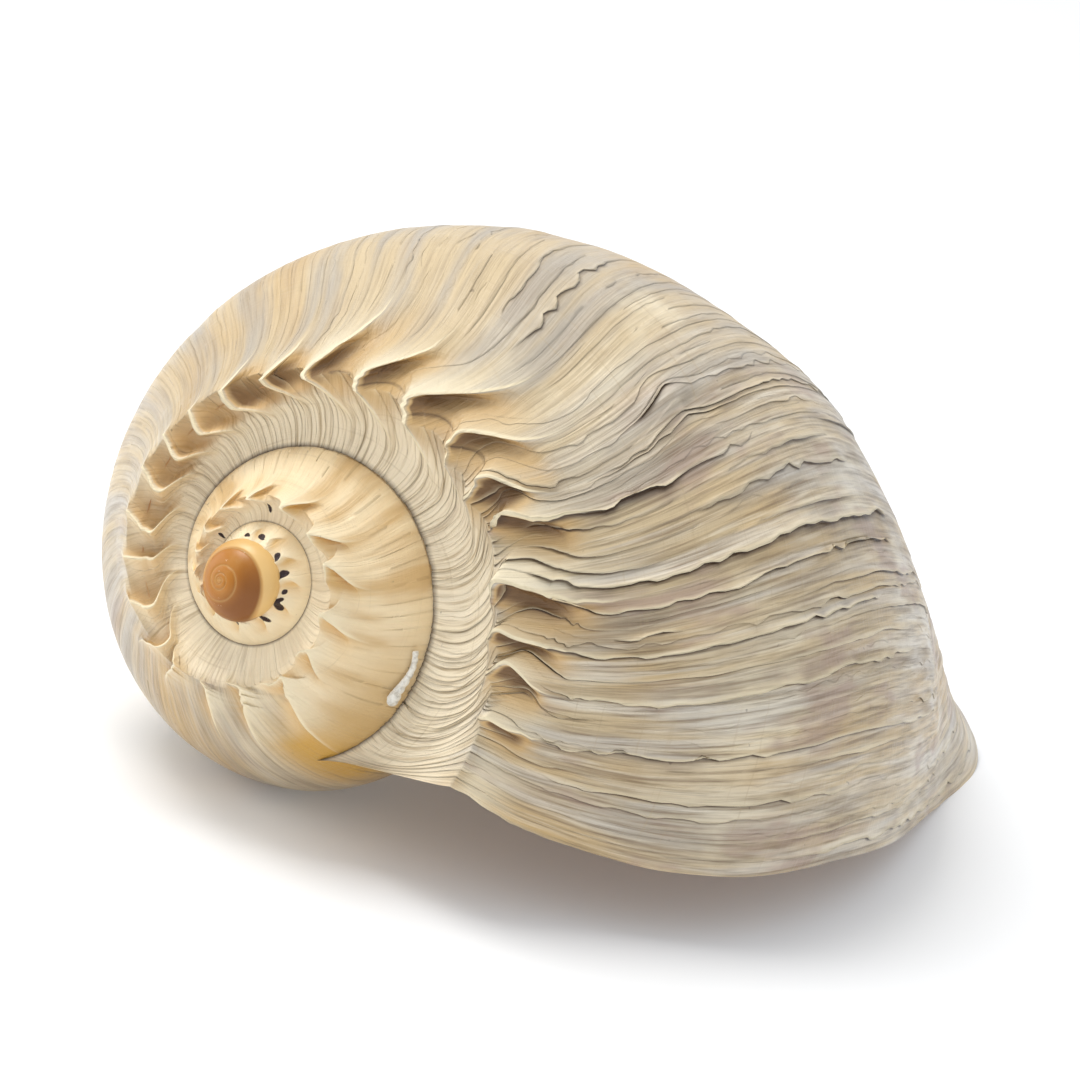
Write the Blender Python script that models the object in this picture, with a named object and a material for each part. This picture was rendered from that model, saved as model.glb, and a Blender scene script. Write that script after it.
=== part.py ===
"""Crowned melon shell resting on its aperture, with a small worm tube grown onto it.

The shell is one coiled solid. Every growth line of the last two whorls is a row of points on a
spiral whose radius and height grow exponentially with the turn number n (0 at the lip, negative
towards the apex). A row runs from the suture over the ramp, the spined crown and the flank to the
anterior end and on to the columella. The first column of each row is shared with the flank of the
whorl before, so the coils are joined into one closed wall with an open aperture.
"""
import math

import bmesh
import bpy
import numpy as np

MM = 0.001

# Spiral growth: radius = exp(k n + q n^2), height the same with its own pair, n in turns.
GROW_R = (1.053, 0.020)
GROW_Z = (1.024, 0.003)
# Whorl profile at the lip, from the crown to the anterior end: radius and height in mm.
PROFILE = ((57.0, -15.0), (71.8, -31.6), (100.1, -63.0), (106.0, -104.7), (99.3, -149.4),
           (85.0, -190.5), (68.0, -227.0), (43.5, -252.0))
# How far each profile point departs from the spiral one turn back: radius and height shares.
TRIM_R = (-0.002, 0.005, 0.042, -0.004, 0.018, 0.060, 0.060, 0.030)
TRIM_Z = (0.005, -0.001, -0.018, -0.002, 0.001, 0.015, 0.007, 0.008)
# How far the growth line lags at each profile point, in turns.
LAG = (-0.037, -0.041, -0.063, -0.076, -0.079, -0.078, -0.092, -0.125)
SUTURE_AT = (0.298, -0.034)      # where the next suture lies along the profile, and its drift
RAMP_SAG = 0.119                 # depth of the sunken ramp as a share of its width
FLARE_MM = 9.0                   # outward flare of the lip towards the anterior end
FLARE_TURNS = 0.022              # how far back from the lip the flare reaches
SWELL_MM = 1.6                   # low swelling of the flank round an old repair

ROWS_PER_TURN = 72
LEAD_ROWS = 9                    # rows by which the suture end runs ahead of the flank
TURNS = 2.1
RAMP_STEPS = 4
UPPER_STEPS = 3
LOWER_STEPS = 7
FOOT_STEPS = 6

WALL_MM = 3.4                    # wall thickness
PILLAR_MM = (7.0, 0.015)         # columella radius at the apex level, and its growth per mm of depth
PILLAR_TIP_MM = -224.0
FOLD_MM = 2.2                    # height of the columella folds
FLOOR_MM = 8.0                   # level of the cavity floor above the anterior end

SPINE_MM = 7.0                   # height of a crown spine on the last whorl
SPINE_LEAN = (-0.32, 0.95)       # direction of a spine: inward over the ramp and up, as shares
LEDGE_MM = 1.1                   # step of a growth ledge on the flank
DOME_MM = (7.3, 9.1, -2.0)       # radius, height and base level of the first whorls' dome

TUBE_TURNS = (-1.026, -0.958)
TUBE_MM = 0.9

# Resting pose: direction of gravity in the shell's own frame.
DOWN = (0.6293, -0.7499, -0.2040)


def spline(points, per):
    """Smooth curve through points: cubic pieces with centripetal spacing."""
    p = np.asarray(points, float)
    t = np.concatenate([[0], np.cumsum(np.linalg.norm(np.diff(p, axis=0), axis=1) ** 0.5)])
    h = np.diff(t)[:, None]
    slope = np.diff(p, axis=0) / h
    m = np.zeros_like(p)
    m[1:-1] = (slope[:-1] * h[1:] + slope[1:] * h[:-1]) / (h[1:] + h[:-1])
    m[0] = slope[0] * 1.5 - m[1] * 0.5
    m[-1] = slope[-1] * 1.5 - m[-2] * 0.5
    u = np.linspace(0, 1, per, endpoint=False)[None, :, None]
    a = p[:-1, None]
    b = p[1:, None]
    hh = h[:, None]
    out = ((2 * u**3 - 3 * u**2 + 1) * a + (u**3 - 2 * u**2 + u) * hh * m[:-1, None]
           + (3 * u**2 - 2 * u**3) * b + (u**3 - u**2) * hh * m[1:, None])
    return np.concatenate([out.reshape(-1, p.shape[1]), p[-1:]])


STEP = np.arange(len(PROFILE), dtype=float)
TABLE = np.column_stack([
    spline(PROFILE, 8),
    spline(np.column_stack([STEP, TRIM_R]), 8)[:, 1],
    spline(np.column_stack([STEP, TRIM_Z]), 8)[:, 1],
    spline(np.column_stack([STEP, LAG]), 8)[:, 1],
])


def along(u):
    """Profile values (radius, height, trims, lag) at share u of the way from crown to end."""
    k = np.clip(u, 0, 1) * (len(TABLE) - 1)
    i = np.minimum(k.astype(int), len(TABLE) - 2)
    f = (k - i)[..., None]
    return TABLE[i] * (1 - f) + TABLE[i + 1] * f


def whorl(n, u):
    """Radius, height and turn of the flank at growth line n and profile share u."""
    v = along(u)
    turn = n + v[..., 4]
    trim = np.clip(turn, -1.0, 0.1)
    gr = np.exp(GROW_R[0] * turn + GROW_R[1] * turn**2)
    gz = np.exp(GROW_Z[0] * turn + GROW_Z[1] * turn**2)
    flare = FLARE_MM * np.exp(-((u - 0.87) / 0.15) ** 2) * np.exp(np.minimum(n, 0) / FLARE_TURNS)
    swell = SWELL_MM * np.exp(-((u - 0.57) / 0.09) ** 2 - ((n + 0.172) / 0.035) ** 2)
    return (v[..., 0] * gr * (1 + v[..., 2] * trim) + flare + swell,
            v[..., 1] * gz * (1 + v[..., 3] * trim) - 0.5 * flare, turn)


def whorl_normal(n, u):
    """Outward direction (radius, height) of the profile."""
    r1, z1, _ = whorl(n, np.clip(u + 0.02, 0, 1))
    r0, z0, _ = whorl(n, np.clip(u - 0.02, 0, 1))
    length = np.hypot(r1 - r0, z1 - z0)
    return -(z1 - z0) / length, (r1 - r0) / length


def place(r, z, turn):
    """Points in the shell's frame: turns run clockwise seen from the apex."""
    a = 2 * math.pi * turn
    return np.stack([r * np.cos(a), -r * np.sin(a), z + 0 * a], axis=-1)


def rows_of_shell():
    """All points of the outer side by row and column, and the column layout."""
    count = int(round(TURNS * ROWS_PER_TURN)) + 1
    n = (np.arange(count) - (count - 1)) / ROWS_PER_TURN
    shift = ROWS_PER_TURN - LEAD_ROWS
    ja = RAMP_STEPS + UPPER_STEPS
    jb = ja + 1
    jp = jb + LOWER_STEPS
    jl = jp + FOOT_STEPS
    star = SUTURE_AT[0] + SUTURE_AT[1] * (n + 1 - LEAD_ROWS / ROWS_PER_TURN)
    star = np.minimum(star, SUTURE_AT[0] + 0.01)
    u = np.zeros((count, jp + 1))
    u[:, RAMP_STEPS:ja + 1] = star[:, None] * np.linspace(0, 1, UPPER_STEPS + 1)
    gap = 0.05
    u[:, jb:jp + 1] = (star + gap)[:, None] + (1 - star - gap)[:, None] * np.linspace(0, 1, LOWER_STEPS + 1)
    r, z, turn = whorl(n[:, None] + 0 * u, u)
    nr, nz = whorl_normal(n[:, None] + 0 * u, u)
    return {"n": n, "count": count, "shift": shift, "ja": ja, "jb": jb, "jp": jp, "jl": jl,
            "u": u, "r": r, "z": z, "turn": turn, "nr": nr, "nz": nz}


def sawtooth(index, period):
    """Slow rise over a period of rows, then a sudden drop."""
    return ((index % period) + 1) / period


def relief(g):
    """Spines on the crown and growth ledges on the flank, as outward steps in mm."""
    back = (g["count"] - 1) - np.arange(g["count"])
    n = g["n"]
    last = sawtooth(-back - 1, 3)
    early = sawtooth(-back - 1, 5)
    tooth = np.where(n > -0.80, last, early) ** 1.4
    size = SPINE_MM * np.exp(0.62 * n) * np.clip(0.55 - 6.0 * (n + 0.08), 0.25, 1.0)
    size = size * np.clip((n + 2.08) / 0.15, 0, 1)
    out = np.zeros_like(g["u"])
    crown = RAMP_STEPS
    out[:, crown] = tooth * size
    out[:, crown - 1] = 0.22 * tooth * size
    out[:, crown + 1] = 0.30 * tooth * size
    ledge = LEDGE_MM * (tooth - 0.3) * np.clip((n + 0.75) / 0.35, 0, 1)
    for j in range(crown + 1, g["jp"]):
        out[:, j] += ledge
    return out


def shell_mesh():
    """Vertices (mm, shell frame) and faces of the closed shell wall."""
    g = rows_of_shell()
    count, shift, ja, jb, jp, jl = (g[k] for k in ("count", "shift", "ja", "jb", "jp", "jl"))
    n = g["n"]
    bump = relief(g)
    pts = np.zeros((count, jl + 1, 3))
    lean = np.where(np.arange(jp + 1) == RAMP_STEPS, 1.0, 0.0)
    pts[:, :jp + 1] = place(g["r"] + bump * (g["nr"] * (1 - lean) + lean * SPINE_LEAN[0]),
                            g["z"] + bump * (g["nz"] * (1 - lean) + lean * SPINE_LEAN[1]), g["turn"])
    ids = -np.ones((count, jl + 1), int)

    # Ramp: from the flank of the whorl before to the crown, sagging between.
    start = np.zeros((count, 3))
    start[shift:] = np.column_stack([g["r"][:-shift, ja], g["z"][:-shift, ja], g["turn"][:-shift, ja] + 1])
    start[:shift] = np.column_stack([0 * n[:shift], 0 * n[:shift] - 3.0, g["turn"][:shift, RAMP_STEPS] + 0.08])
    r1 = g["r"][:, RAMP_STEPS]
    z1 = g["z"][:, RAMP_STEPS]
    dr = r1 - start[:, 0]
    dz = z1 - start[:, 1]
    for j in range(1, RAMP_STEPS):
        f = j / RAMP_STEPS
        sag = 4 * f * (1 - f) * RAMP_SAG
        r = start[:, 0] + f * dr + sag * dz + bump[:, j] * 0.3
        z = start[:, 1] + f * dz - sag * dr + bump[:, j] * 0.9
        pts[:, j] = place(r, z, start[:, 2] * (1 - f) + g["turn"][:, RAMP_STEPS] * f)

    # Foot: from the anterior end in to the columella, then along it to its tip, with oblique folds.
    rp = g["r"][:, jp]
    zp = g["z"][:, jp]
    turn = g["turn"][:, jp]
    half = FOOT_STEPS // 2
    ahead = n + 1 - LEAD_ROWS / ROWS_PER_TURN
    _, z_next, _ = whorl(ahead, np.ones(count))
    zc = np.minimum(np.maximum(z_next + FLOOR_MM, PILLAR_TIP_MM + 22), zp - 1)
    rc = PILLAR_MM[0] - PILLAR_MM[1] * zc
    ze = np.minimum(np.full(count, PILLAR_TIP_MM + 6), zp - 2)
    strength = FOLD_MM * np.clip((-0.35 - n) / 0.2, 0, 1) * np.clip((n + 1.9) / 0.4, 0, 1)
    for k in range(1, FOOT_STEPS + 1):
        if k <= half:
            f = k / half
            r = rp + (rc - rp) * f ** 0.8
            z = zp + (zc - zp) * f
        else:
            f = (k - half) / half
            r = rc * (1 - 0.35 * f)
            z = zc + (ze - zc) * f
        pts[:, jp + k] = place(r + (strength if k % 2 else 0), z, turn)

    verts = []
    faces = []

    def add(p):
        verts.append(tuple(float(c) for c in p))
        return len(verts) - 1

    attach = count - 1 - shift                 # row of the whorl before that meets the lip
    deep = attach - ROWS_PER_TURN              # row where the cavity ends
    pole = add((0.0, 0.0, -3.0))
    tip = add((0.0, 0.0, PILLAR_TIP_MM))
    jc = jp + FOOT_STEPS // 2
    for i in range(count):
        if i >= attach:
            top = jl
        elif i >= deep:
            top = jc
        else:
            top = ja
        for j in range(1, top + 1):
            ids[i, j] = add(pts[i, j])
        ids[i, 0] = pole if i < shift else ids[i - shift, ja]

    # Inside wall of the last turn.
    first = count - 1 - ROWS_PER_TURN
    inner = -np.ones((count, jl + 1), int)
    for i in range(first, count):
        inner[i, 0] = ids[i - shift, jb]
        inner[i, jl] = ids[i - shift, jc]
    ur = g["r"] - WALL_MM * g["nr"]
    uz = g["z"] - WALL_MM * g["nz"]
    share = np.clip((n - n[first]) * ROWS_PER_TURN / 4.0, 0, 1)
    for i in range(first, count):
        a = np.array([g["r"][i - shift, jb], g["z"][i - shift, jb], g["turn"][i - shift, jb] + 1])
        b = np.array([ur[i, RAMP_STEPS], uz[i, RAMP_STEPS] - 1.5, g["turn"][i, RAMP_STEPS]])
        d = b - a
        for j in range(1, jl):
            if j < RAMP_STEPS:
                f = j / RAMP_STEPS
                sag = 4 * f * (1 - f) * RAMP_SAG
                p = a + f * d + np.array([sag * d[1], -sag * d[0], 0])
            elif j == RAMP_STEPS:
                p = b
            elif j < jp:
                p = np.array([ur[i, j], uz[i, j], g["turn"][i, j]])
            else:
                f = (j - jp) / (jl - jp)
                q0 = np.array([g["r"][i, jp] - 1.6 * WALL_MM, g["z"][i, jp] + 1.4 * WALL_MM, g["turn"][i, jp]])
                c = pts[i - shift, jc]
                q1 = np.array([math.hypot(c[0], c[1]), c[2], g["turn"][i - shift, jp] + 1])
                p = q0 * (1 - f) + q1 * f
            inner[i, j] = add(place(*p))

    def quad(a, b, c, d):
        ring = [a, b, c, d]
        ring = [v for k, v in enumerate(ring) if v != ring[k - 1]]
        if len(ring) > 2:
            faces.append(tuple(ring))

    for i in range(count - 1):
        end = jl if i >= attach else ja
        for j in range(1 if i == shift - 1 else 0, end):
            quad(ids[i, j], ids[i, j + 1], ids[i + 1, j + 1], ids[i + 1, j])
        if i >= attach:
            faces.append((ids[i, jl], tip, ids[i + 1, jl]))
        if deep <= i < attach:
            for j in range(jb, jc):
                quad(ids[i, j], ids[i, j + 1], ids[i + 1, j + 1], ids[i + 1, j])
        if i >= first:
            for j in range(jl):
                quad(inner[i, j], inner[i + 1, j], inner[i + 1, j + 1], inner[i, j + 1])
    end = count - 1
    # Lip edge, then the foot where it closes onto the columella.
    for j in range(jl):
        quad(ids[end, j], ids[end, j + 1], inner[end, j + 1], inner[end, j])
    for j in range(jc, jl):
        faces.append((ids[end, jl], ids[attach, j + 1], ids[attach, j]))
    faces.append((ids[end, jl], tip, ids[attach, jl]))
    # Blind end of the cavity.
    loop = [inner[first, j] for j in range(jl + 1)] + [ids[deep, j] for j in range(jc - 1, jb, -1)]
    centre = add(np.mean([verts[v] for v in loop], axis=0))
    for k in range(len(loop)):
        faces.append((loop[k], centre, loop[k - 1]))
    # First row: a small fan under the dome.
    row = [pole] + [ids[0, j] for j in range(1, ja + 1)]
    other = ids[shift - 1, 1]
    for k in range(ja):
        faces.append((other, row[k + 1], row[k]))
    faces.append((other, ids[shift, 1], ids[0, ja]))
    return np.array(verts), faces, share


def pose():
    """Rotation from the shell's frame to the resting frame: +X anterior, +Z up."""
    up = -np.array(DOWN) / np.linalg.norm(DOWN)
    ahead = np.array([0.0, 0.0, -1.0])
    ahead = ahead - ahead.dot(up) * up
    ahead /= np.linalg.norm(ahead)
    return np.stack([ahead, np.cross(up, ahead), up])


def new_object(name, verts, faces, colour, roughness):
    mesh = bpy.data.meshes.new(name)
    mesh.from_pydata([tuple(v) for v in verts], [], faces)
    bm = bmesh.new()
    bm.from_mesh(mesh)
    bmesh.ops.triangulate(bm, faces=bm.faces[:])
    bmesh.ops.recalc_face_normals(bm, faces=bm.faces[:])
    bm.to_mesh(mesh)
    bm.free()
    material = bpy.data.materials.new(name)
    material.use_nodes = True
    shader = material.node_tree.nodes["Principled BSDF"]
    shader.inputs["Base Color"].default_value = (*colour, 1.0)
    shader.inputs["Roughness"].default_value = roughness
    mesh.materials.append(material)
    obj = bpy.data.objects.new(name, mesh)
    bpy.context.scene.collection.objects.link(obj)
    return obj


def dome_mesh():
    """Closed ellipsoid cap of the first whorls."""
    radius, height, level = DOME_MM
    around, up = 28, 10
    verts = [(0.0, 0.0, level + height)]
    for k in range(1, up):
        a = math.pi * k / up
        low = height if a < math.pi / 2 else 4.5
        for i in range(around):
            b = 2 * math.pi * i / around
            verts.append((radius * math.sin(a) * math.cos(b), radius * math.sin(a) * math.sin(b),
                          level + low * math.cos(a)))
    verts.append((0.0, 0.0, level - 4.5))
    faces = []
    for i in range(around):
        n = (i + 1) % around
        faces.append((0, 1 + i, 1 + n))
        for k in range(up - 2):
            a = 1 + k * around
            faces.append((a + i, a + around + i, a + around + n, a + n))
        a = 1 + (up - 2) * around
        faces.append((a + i, len(verts) - 1, a + n))
    return np.array(verts), faces


def tube_mesh():
    """Worm tube lying on the older whorl beside the suture."""
    steps, sides = 14, 10
    t = np.linspace(0, 1, steps)
    n = TUBE_TURNS[0] + (TUBE_TURNS[1] - TUBE_TURNS[0]) * t
    u = SUTURE_AT[0] - 0.038 + 0.006 * np.sin(5 * t)
    radius = TUBE_MM * (0.75 + 0.9 * t**3)
    r, z, turn = whorl(n, u)
    nr, nz = whorl_normal(n, u)
    off = radius + 0.7
    path = place(r + off * nr, z + off * nz, turn)
    ahead = np.gradient(path, axis=0)
    ahead /= np.linalg.norm(ahead, axis=1)[:, None]
    side = np.cross(ahead, np.array([0, 0, 1.0]))
    side /= np.linalg.norm(side, axis=1)[:, None]
    over = np.cross(side, ahead)
    a = np.linspace(0, 2 * math.pi, sides, endpoint=False)
    rings = path[:, None] + radius[:, None, None] * (
        np.cos(a)[None, :, None] * side[:, None] + np.sin(a)[None, :, None] * over[:, None])
    verts = [tuple(p) for p in rings.reshape(-1, 3)] + [tuple(path[0]), tuple(path[-1] + ahead[-1] * 0.8)]
    faces = []
    for i in range(steps - 1):
        for k in range(sides):
            m = (k + 1) % sides
            faces.append((i * sides + k, i * sides + m, (i + 1) * sides + m, (i + 1) * sides + k))
    for k in range(sides):
        m = (k + 1) % sides
        faces.append((len(verts) - 2, m, k))
        faces.append((len(verts) - 1, (steps - 1) * sides + k, (steps - 1) * sides + m))
    return np.array(verts), faces


def main():
    for old in list(bpy.data.objects):
        bpy.data.objects.remove(old)
    turn = pose()
    verts, faces, _ = shell_mesh()
    dverts, dfaces = dome_mesh()
    posed = np.concatenate([verts, dverts]) @ turn.T
    low = posed.min(axis=0)
    high = posed.max(axis=0)
    move = -np.array([(low[0] + high[0]) / 2, (low[1] + high[1]) / 2, low[2]])

    shell = new_object("shell", (verts @ turn.T + move) * MM, faces, (0.66, 0.56, 0.42), 0.45)
    dome = new_object("dome", (dverts @ turn.T + move) * MM, dfaces, (0.6, 0.4, 0.2), 0.45)
    cut = shell.modifiers.new("join_dome", "BOOLEAN")
    cut.operation = "UNION"
    cut.solver = "EXACT"
    cut.object = dome
    graph = bpy.context.evaluated_depsgraph_get()
    joined = bpy.data.meshes.new_from_object(shell.evaluated_get(graph))
    material = shell.data.materials[0]
    shell.modifiers.clear()
    joined.materials.clear()
    joined.materials.append(material)
    for face in joined.polygons:
        face.material_index = 0
    shell.data = joined
    bpy.data.objects.remove(dome)

    tverts, tfaces = tube_mesh()
    new_object("worm_tube", (tverts @ turn.T + move) * MM, tfaces, (0.85, 0.84, 0.80), 0.55)


main()
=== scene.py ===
"""Looks of a crowned melon shell lying on its aperture, with a small worm tube by the suture.

The outer side is one spiral surface. Its rows are growth lines and its columns run from the suture
over the ramp, the spined crown and the flank to the anterior end and on to the columella. Growth
ledges and hooded spines are steps of that surface, worked out as functions of the growth line and
of the distance from the crown.
"""
import logging
import math
from dataclasses import dataclass, field
from enum import Enum

import bpy
import numpy as np
from mathutils import Matrix

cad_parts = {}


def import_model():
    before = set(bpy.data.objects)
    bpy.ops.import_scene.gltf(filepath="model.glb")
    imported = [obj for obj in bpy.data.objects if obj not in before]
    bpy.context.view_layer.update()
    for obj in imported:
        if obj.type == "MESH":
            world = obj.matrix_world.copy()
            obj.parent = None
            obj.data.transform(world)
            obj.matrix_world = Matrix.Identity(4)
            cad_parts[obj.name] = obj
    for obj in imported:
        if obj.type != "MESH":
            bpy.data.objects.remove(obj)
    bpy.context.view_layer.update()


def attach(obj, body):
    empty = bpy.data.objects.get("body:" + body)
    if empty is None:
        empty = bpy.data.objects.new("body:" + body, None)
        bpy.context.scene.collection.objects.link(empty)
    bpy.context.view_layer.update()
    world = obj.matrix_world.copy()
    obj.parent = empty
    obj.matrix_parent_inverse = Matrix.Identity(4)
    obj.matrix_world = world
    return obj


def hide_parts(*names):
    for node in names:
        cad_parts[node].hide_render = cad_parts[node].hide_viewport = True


LOG = logging.getLogger("melon_shell")
MM = 0.001
TAU = 2 * math.pi
Array = np.ndarray
Material = bpy.types.Material
Object = bpy.types.Object
Socket = bpy.types.NodeSocket


def spline(points: Array, per: int) -> Array:
    """Smooth curve through points, as cubic pieces with centripetal spacing.

    Args:
        points: one row per point.
        per: samples for each stretch between two points.
    Returns:
        Samples along the curve, one row each.
    """
    p = np.asarray(points, float)
    t = np.concatenate([[0], np.cumsum(np.linalg.norm(np.diff(p, axis=0), axis=1) ** 0.5)])
    h = np.diff(t)[:, None]
    slope = np.diff(p, axis=0) / h
    m = np.zeros_like(p)
    m[1:-1] = (slope[:-1] * h[1:] + slope[1:] * h[:-1]) / (h[1:] + h[:-1])
    m[0] = slope[0] * 1.5 - m[1] * 0.5
    m[-1] = slope[-1] * 1.5 - m[-2] * 0.5
    u = np.linspace(0, 1, per, endpoint=False)[None, :, None]
    a, b, hh = p[:-1, None], p[1:, None], h[:, None]
    out = ((2 * u**3 - 3 * u**2 + 1) * a + (u**3 - 2 * u**2 + u) * hh * m[:-1, None]
           + (3 * u**2 - 2 * u**3) * b + (u**3 - u**2) * hh * m[1:, None])
    return np.concatenate([out.reshape(-1, p.shape[1]), p[-1:]])


def value_noise(shape: tuple[int, int], knots: tuple[int, int], seed: int) -> Array:
    """Smooth noise from -1 to 1: random knots on a coarse grid, eased between by 3x^2 - 2x^3.

    Args:
        shape: rows and columns of the result.
        knots: coarse cells along the rows and along the columns.
        seed: start of the random numbers.
    Returns:
        An array of that shape.
    """
    grid = np.random.default_rng(seed).uniform(-1, 1, (knots[0] + 1, knots[1] + 1))
    x = np.linspace(0, knots[0] - 1e-6, shape[0])
    y = np.linspace(0, knots[1] - 1e-6, shape[1])
    i, j = x.astype(int), y.astype(int)
    fx, fy = x - i, y - j
    fx, fy = (fx * fx * (3 - 2 * fx))[:, None], (fy * fy * (3 - 2 * fy))[None, :]
    top = grid[i][:, j] * (1 - fy) + grid[i][:, j + 1] * fy
    low = grid[i + 1][:, j] * (1 - fy) + grid[i + 1][:, j + 1] * fy
    return top * (1 - fx) + low * fx


def line_noise(rows: int, cols: int, cells: int, seed: int) -> Array:
    """One independent smooth noise from -1 to 1 for each row, eased along the columns."""
    grid = np.random.default_rng(seed).uniform(-1, 1, (rows, cells + 1))
    y = np.linspace(0, cells - 1e-6, cols)
    j = y.astype(int)
    f = y - j
    f = (f * f * (3 - 2 * f))[None, :]
    return grid[:, j] * (1 - f) + grid[:, j + 1] * f


def ease(x: Array, low: float, high: float) -> Array:
    """Smooth step from 0 at low to 1 at high."""
    t = np.clip((x - low) / (high - low), 0, 1)
    return t * t * (3 - 2 * t)


def pattern(along: Array, across: Array, layer: Array) -> Array:
    """Pattern coordinates: lengths along and across growth in cm, and a layer number."""
    return np.stack([along / 10, across / 10, layer], axis=-1)


def linear(colour: tuple[int, int, int]) -> tuple[float, float, float, float]:
    """Linear light values of a colour given as 0 to 255 display values."""
    c = [v / 255 for v in colour]
    c = [v / 12.92 if v <= 0.04045 else ((v + 0.055) / 1.055) ** 2.4 for v in c]
    return (c[0], c[1], c[2], 1.0)


@dataclass(frozen=True)
class RestPose:
    """Turns and moves points from the shell's own frame (mm) to the resting frame (m)."""

    down: tuple[float, float, float] = (0.6293, -0.7499, -0.2040)
    move: tuple[float, float, float] = (-107.0175, 19.3935, 53.1828)

    def rotation(self) -> Array:
        """Rows of the resting frame: ahead, side and up, in the shell's frame."""
        up = -np.array(self.down) / np.linalg.norm(self.down)
        ahead = np.array([0.0, 0.0, -1.0])
        ahead = ahead - ahead.dot(up) * up
        ahead /= np.linalg.norm(ahead)
        return np.stack([ahead, np.cross(up, ahead), up])

    def place(self, points: Array) -> Array:
        """Resting-frame points in metres."""
        return (points @ self.rotation().T + np.array(self.move)) * MM


@dataclass(frozen=True)
class Spiral:
    """The coiling whorl: radius and height grow exponentially with the turn, 0 at the lip."""

    growth_radius: tuple[float, float] = (1.053, 0.020)
    growth_height: tuple[float, float] = (1.024, 0.003)
    profile: tuple[tuple[float, float], ...] = (
        (57.0, -15.0), (71.8, -31.6), (100.1, -63.0), (106.0, -104.7),
        (99.3, -149.4), (85.0, -190.5), (68.0, -227.0), (43.5, -252.0))
    trim_radius: tuple[float, ...] = (-0.002, 0.005, 0.042, -0.004, 0.018, 0.060, 0.060, 0.030)
    trim_height: tuple[float, ...] = (0.005, -0.001, -0.018, -0.002, 0.001, 0.015, 0.007, 0.008)
    lag: tuple[float, ...] = (-0.037, -0.041, -0.063, -0.076, -0.079, -0.078, -0.092, -0.125)
    suture: tuple[float, float] = (0.298, -0.034)
    lead: float = 0.875
    sag: float = 0.119
    flare: tuple[float, float] = (9.0, 0.022)
    swell: float = 1.6
    lip_dip: float = 3.4
    crown_radius: float = 85.0

    def table(self) -> Array:
        """Radius, height, trims and lag along the profile."""
        step = np.arange(len(self.profile), dtype=float)
        return np.column_stack([
            spline(self.profile, 8),
            spline(np.column_stack([step, self.trim_radius]), 8)[:, 1],
            spline(np.column_stack([step, self.trim_height]), 8)[:, 1],
            spline(np.column_stack([step, self.lag]), 8)[:, 1]])

    def whorl(self, n: Array, u: Array) -> tuple[Array, Array, Array]:
        """Flank of the whorl.

        Profile value times exp(k t + q t^2) of the turn t = n + lag(u), plus the lip's flare.

        Args:
            n: growth line in turns, 0 at the lip.
            u: share of the way from the crown to the anterior end.
        Returns:
            Radius, height and turn.
        """
        table = self.table()
        k = np.clip(u, 0, 1) * (len(table) - 1)
        i = np.minimum(k.astype(int), len(table) - 2)
        f = k - i
        r, z, tr, tz, lag = (table[i, c] * (1 - f) + table[i + 1, c] * f for c in range(5))
        turn = n + lag
        trim = np.clip(turn, -1.0, 0.1)
        gr = np.exp(self.growth_radius[0] * turn + self.growth_radius[1] * turn**2)
        gz = np.exp(self.growth_height[0] * turn + self.growth_height[1] * turn**2)
        flare = self.flare[0] * np.exp(-((u - 0.87) / 0.15) ** 2) * np.exp(np.minimum(n, 0) / self.flare[1])
        swell = self.swell * np.exp(-((u - 0.57) / 0.09) ** 2 - ((n + 0.172) / 0.035) ** 2)
        return r * gr * (1 + tr * trim) + flare + swell, z * gz * (1 + tz * trim) - 0.5 * flare, turn

    def normal(self, n: Array, u: Array) -> tuple[Array, Array]:
        """Outward direction of the flank profile, as radius and height parts."""
        r1, z1, _ = self.whorl(n, np.clip(u + 0.02, 0, 1))
        r0, z0, _ = self.whorl(n, np.clip(u - 0.02, 0, 1))
        length = np.hypot(r1 - r0, z1 - z0)
        return -(z1 - z0) / length, (r1 - r0) / length

    def suture_share(self, n: Array) -> Array:
        """Share of the flank at which the next whorl is attached."""
        star = self.suture[0] + self.suture[1] * (n + self.lead)
        star = star - 0.022 * np.exp(np.minimum(n + self.lead, 0) / 0.05)
        return np.minimum(star, self.suture[0] + 0.01)

    def behind(self, n: Array) -> Array:
        """Growth line of the whorl before that carries the suture end of growth line n."""
        return n - self.lead - 0.079 * (1 - np.exp(np.minimum(n, 0) / 0.12))

    def ramp(self, n: Array, f: Array) -> tuple[Array, Array, Array]:
        """Sunken ramp from the suture (f = 0) to the crown (f = 1), sagging by 4 f (1 - f).

        The growth line runs ahead of the crown by a lead that fades behind the lip as an
        exponential, and across the ramp as 1 - f^p with p from 0.8 at the lip to 2. At the lip
        the radius falls below the straight line by lip_dip times 4 f (1 - f), which makes the
        lip's edge straight there.
        """
        before = self.behind(n)
        r0, z0, t0 = self.whorl(before, self.suture_share(before))
        r1, z1, t1 = self.whorl(n, 0 * f)
        dr, dz = r1 - r0, z1 - z0
        sag = 4 * f * (1 - f) * self.sag * (1 - 0.7 * np.exp(np.minimum(n, 0) / 0.03))
        power = 2 - 1.2 * np.exp(np.minimum(n, 0) / 0.04)
        dip = self.lip_dip * 4 * f * (1 - f) * np.exp(np.minimum(n, 0) / 0.04)
        return r0 + f * dr + sag * dz - dip, z0 + f * dz - sag * dr, t1 + (t0 + 1 - t1) * (1 - f**power)

    def scale(self, n: Array) -> Array:
        """Size of the whorl at growth line n against the lip's."""
        return np.exp(self.growth_radius[0] * n + self.growth_radius[1] * n * n)

    def arc(self, power: Array) -> Array:
        """Length of a turn at the crown in mm, grown by e to that power, for the patterns."""
        return TAU * self.crown_radius * np.exp(power)

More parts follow.
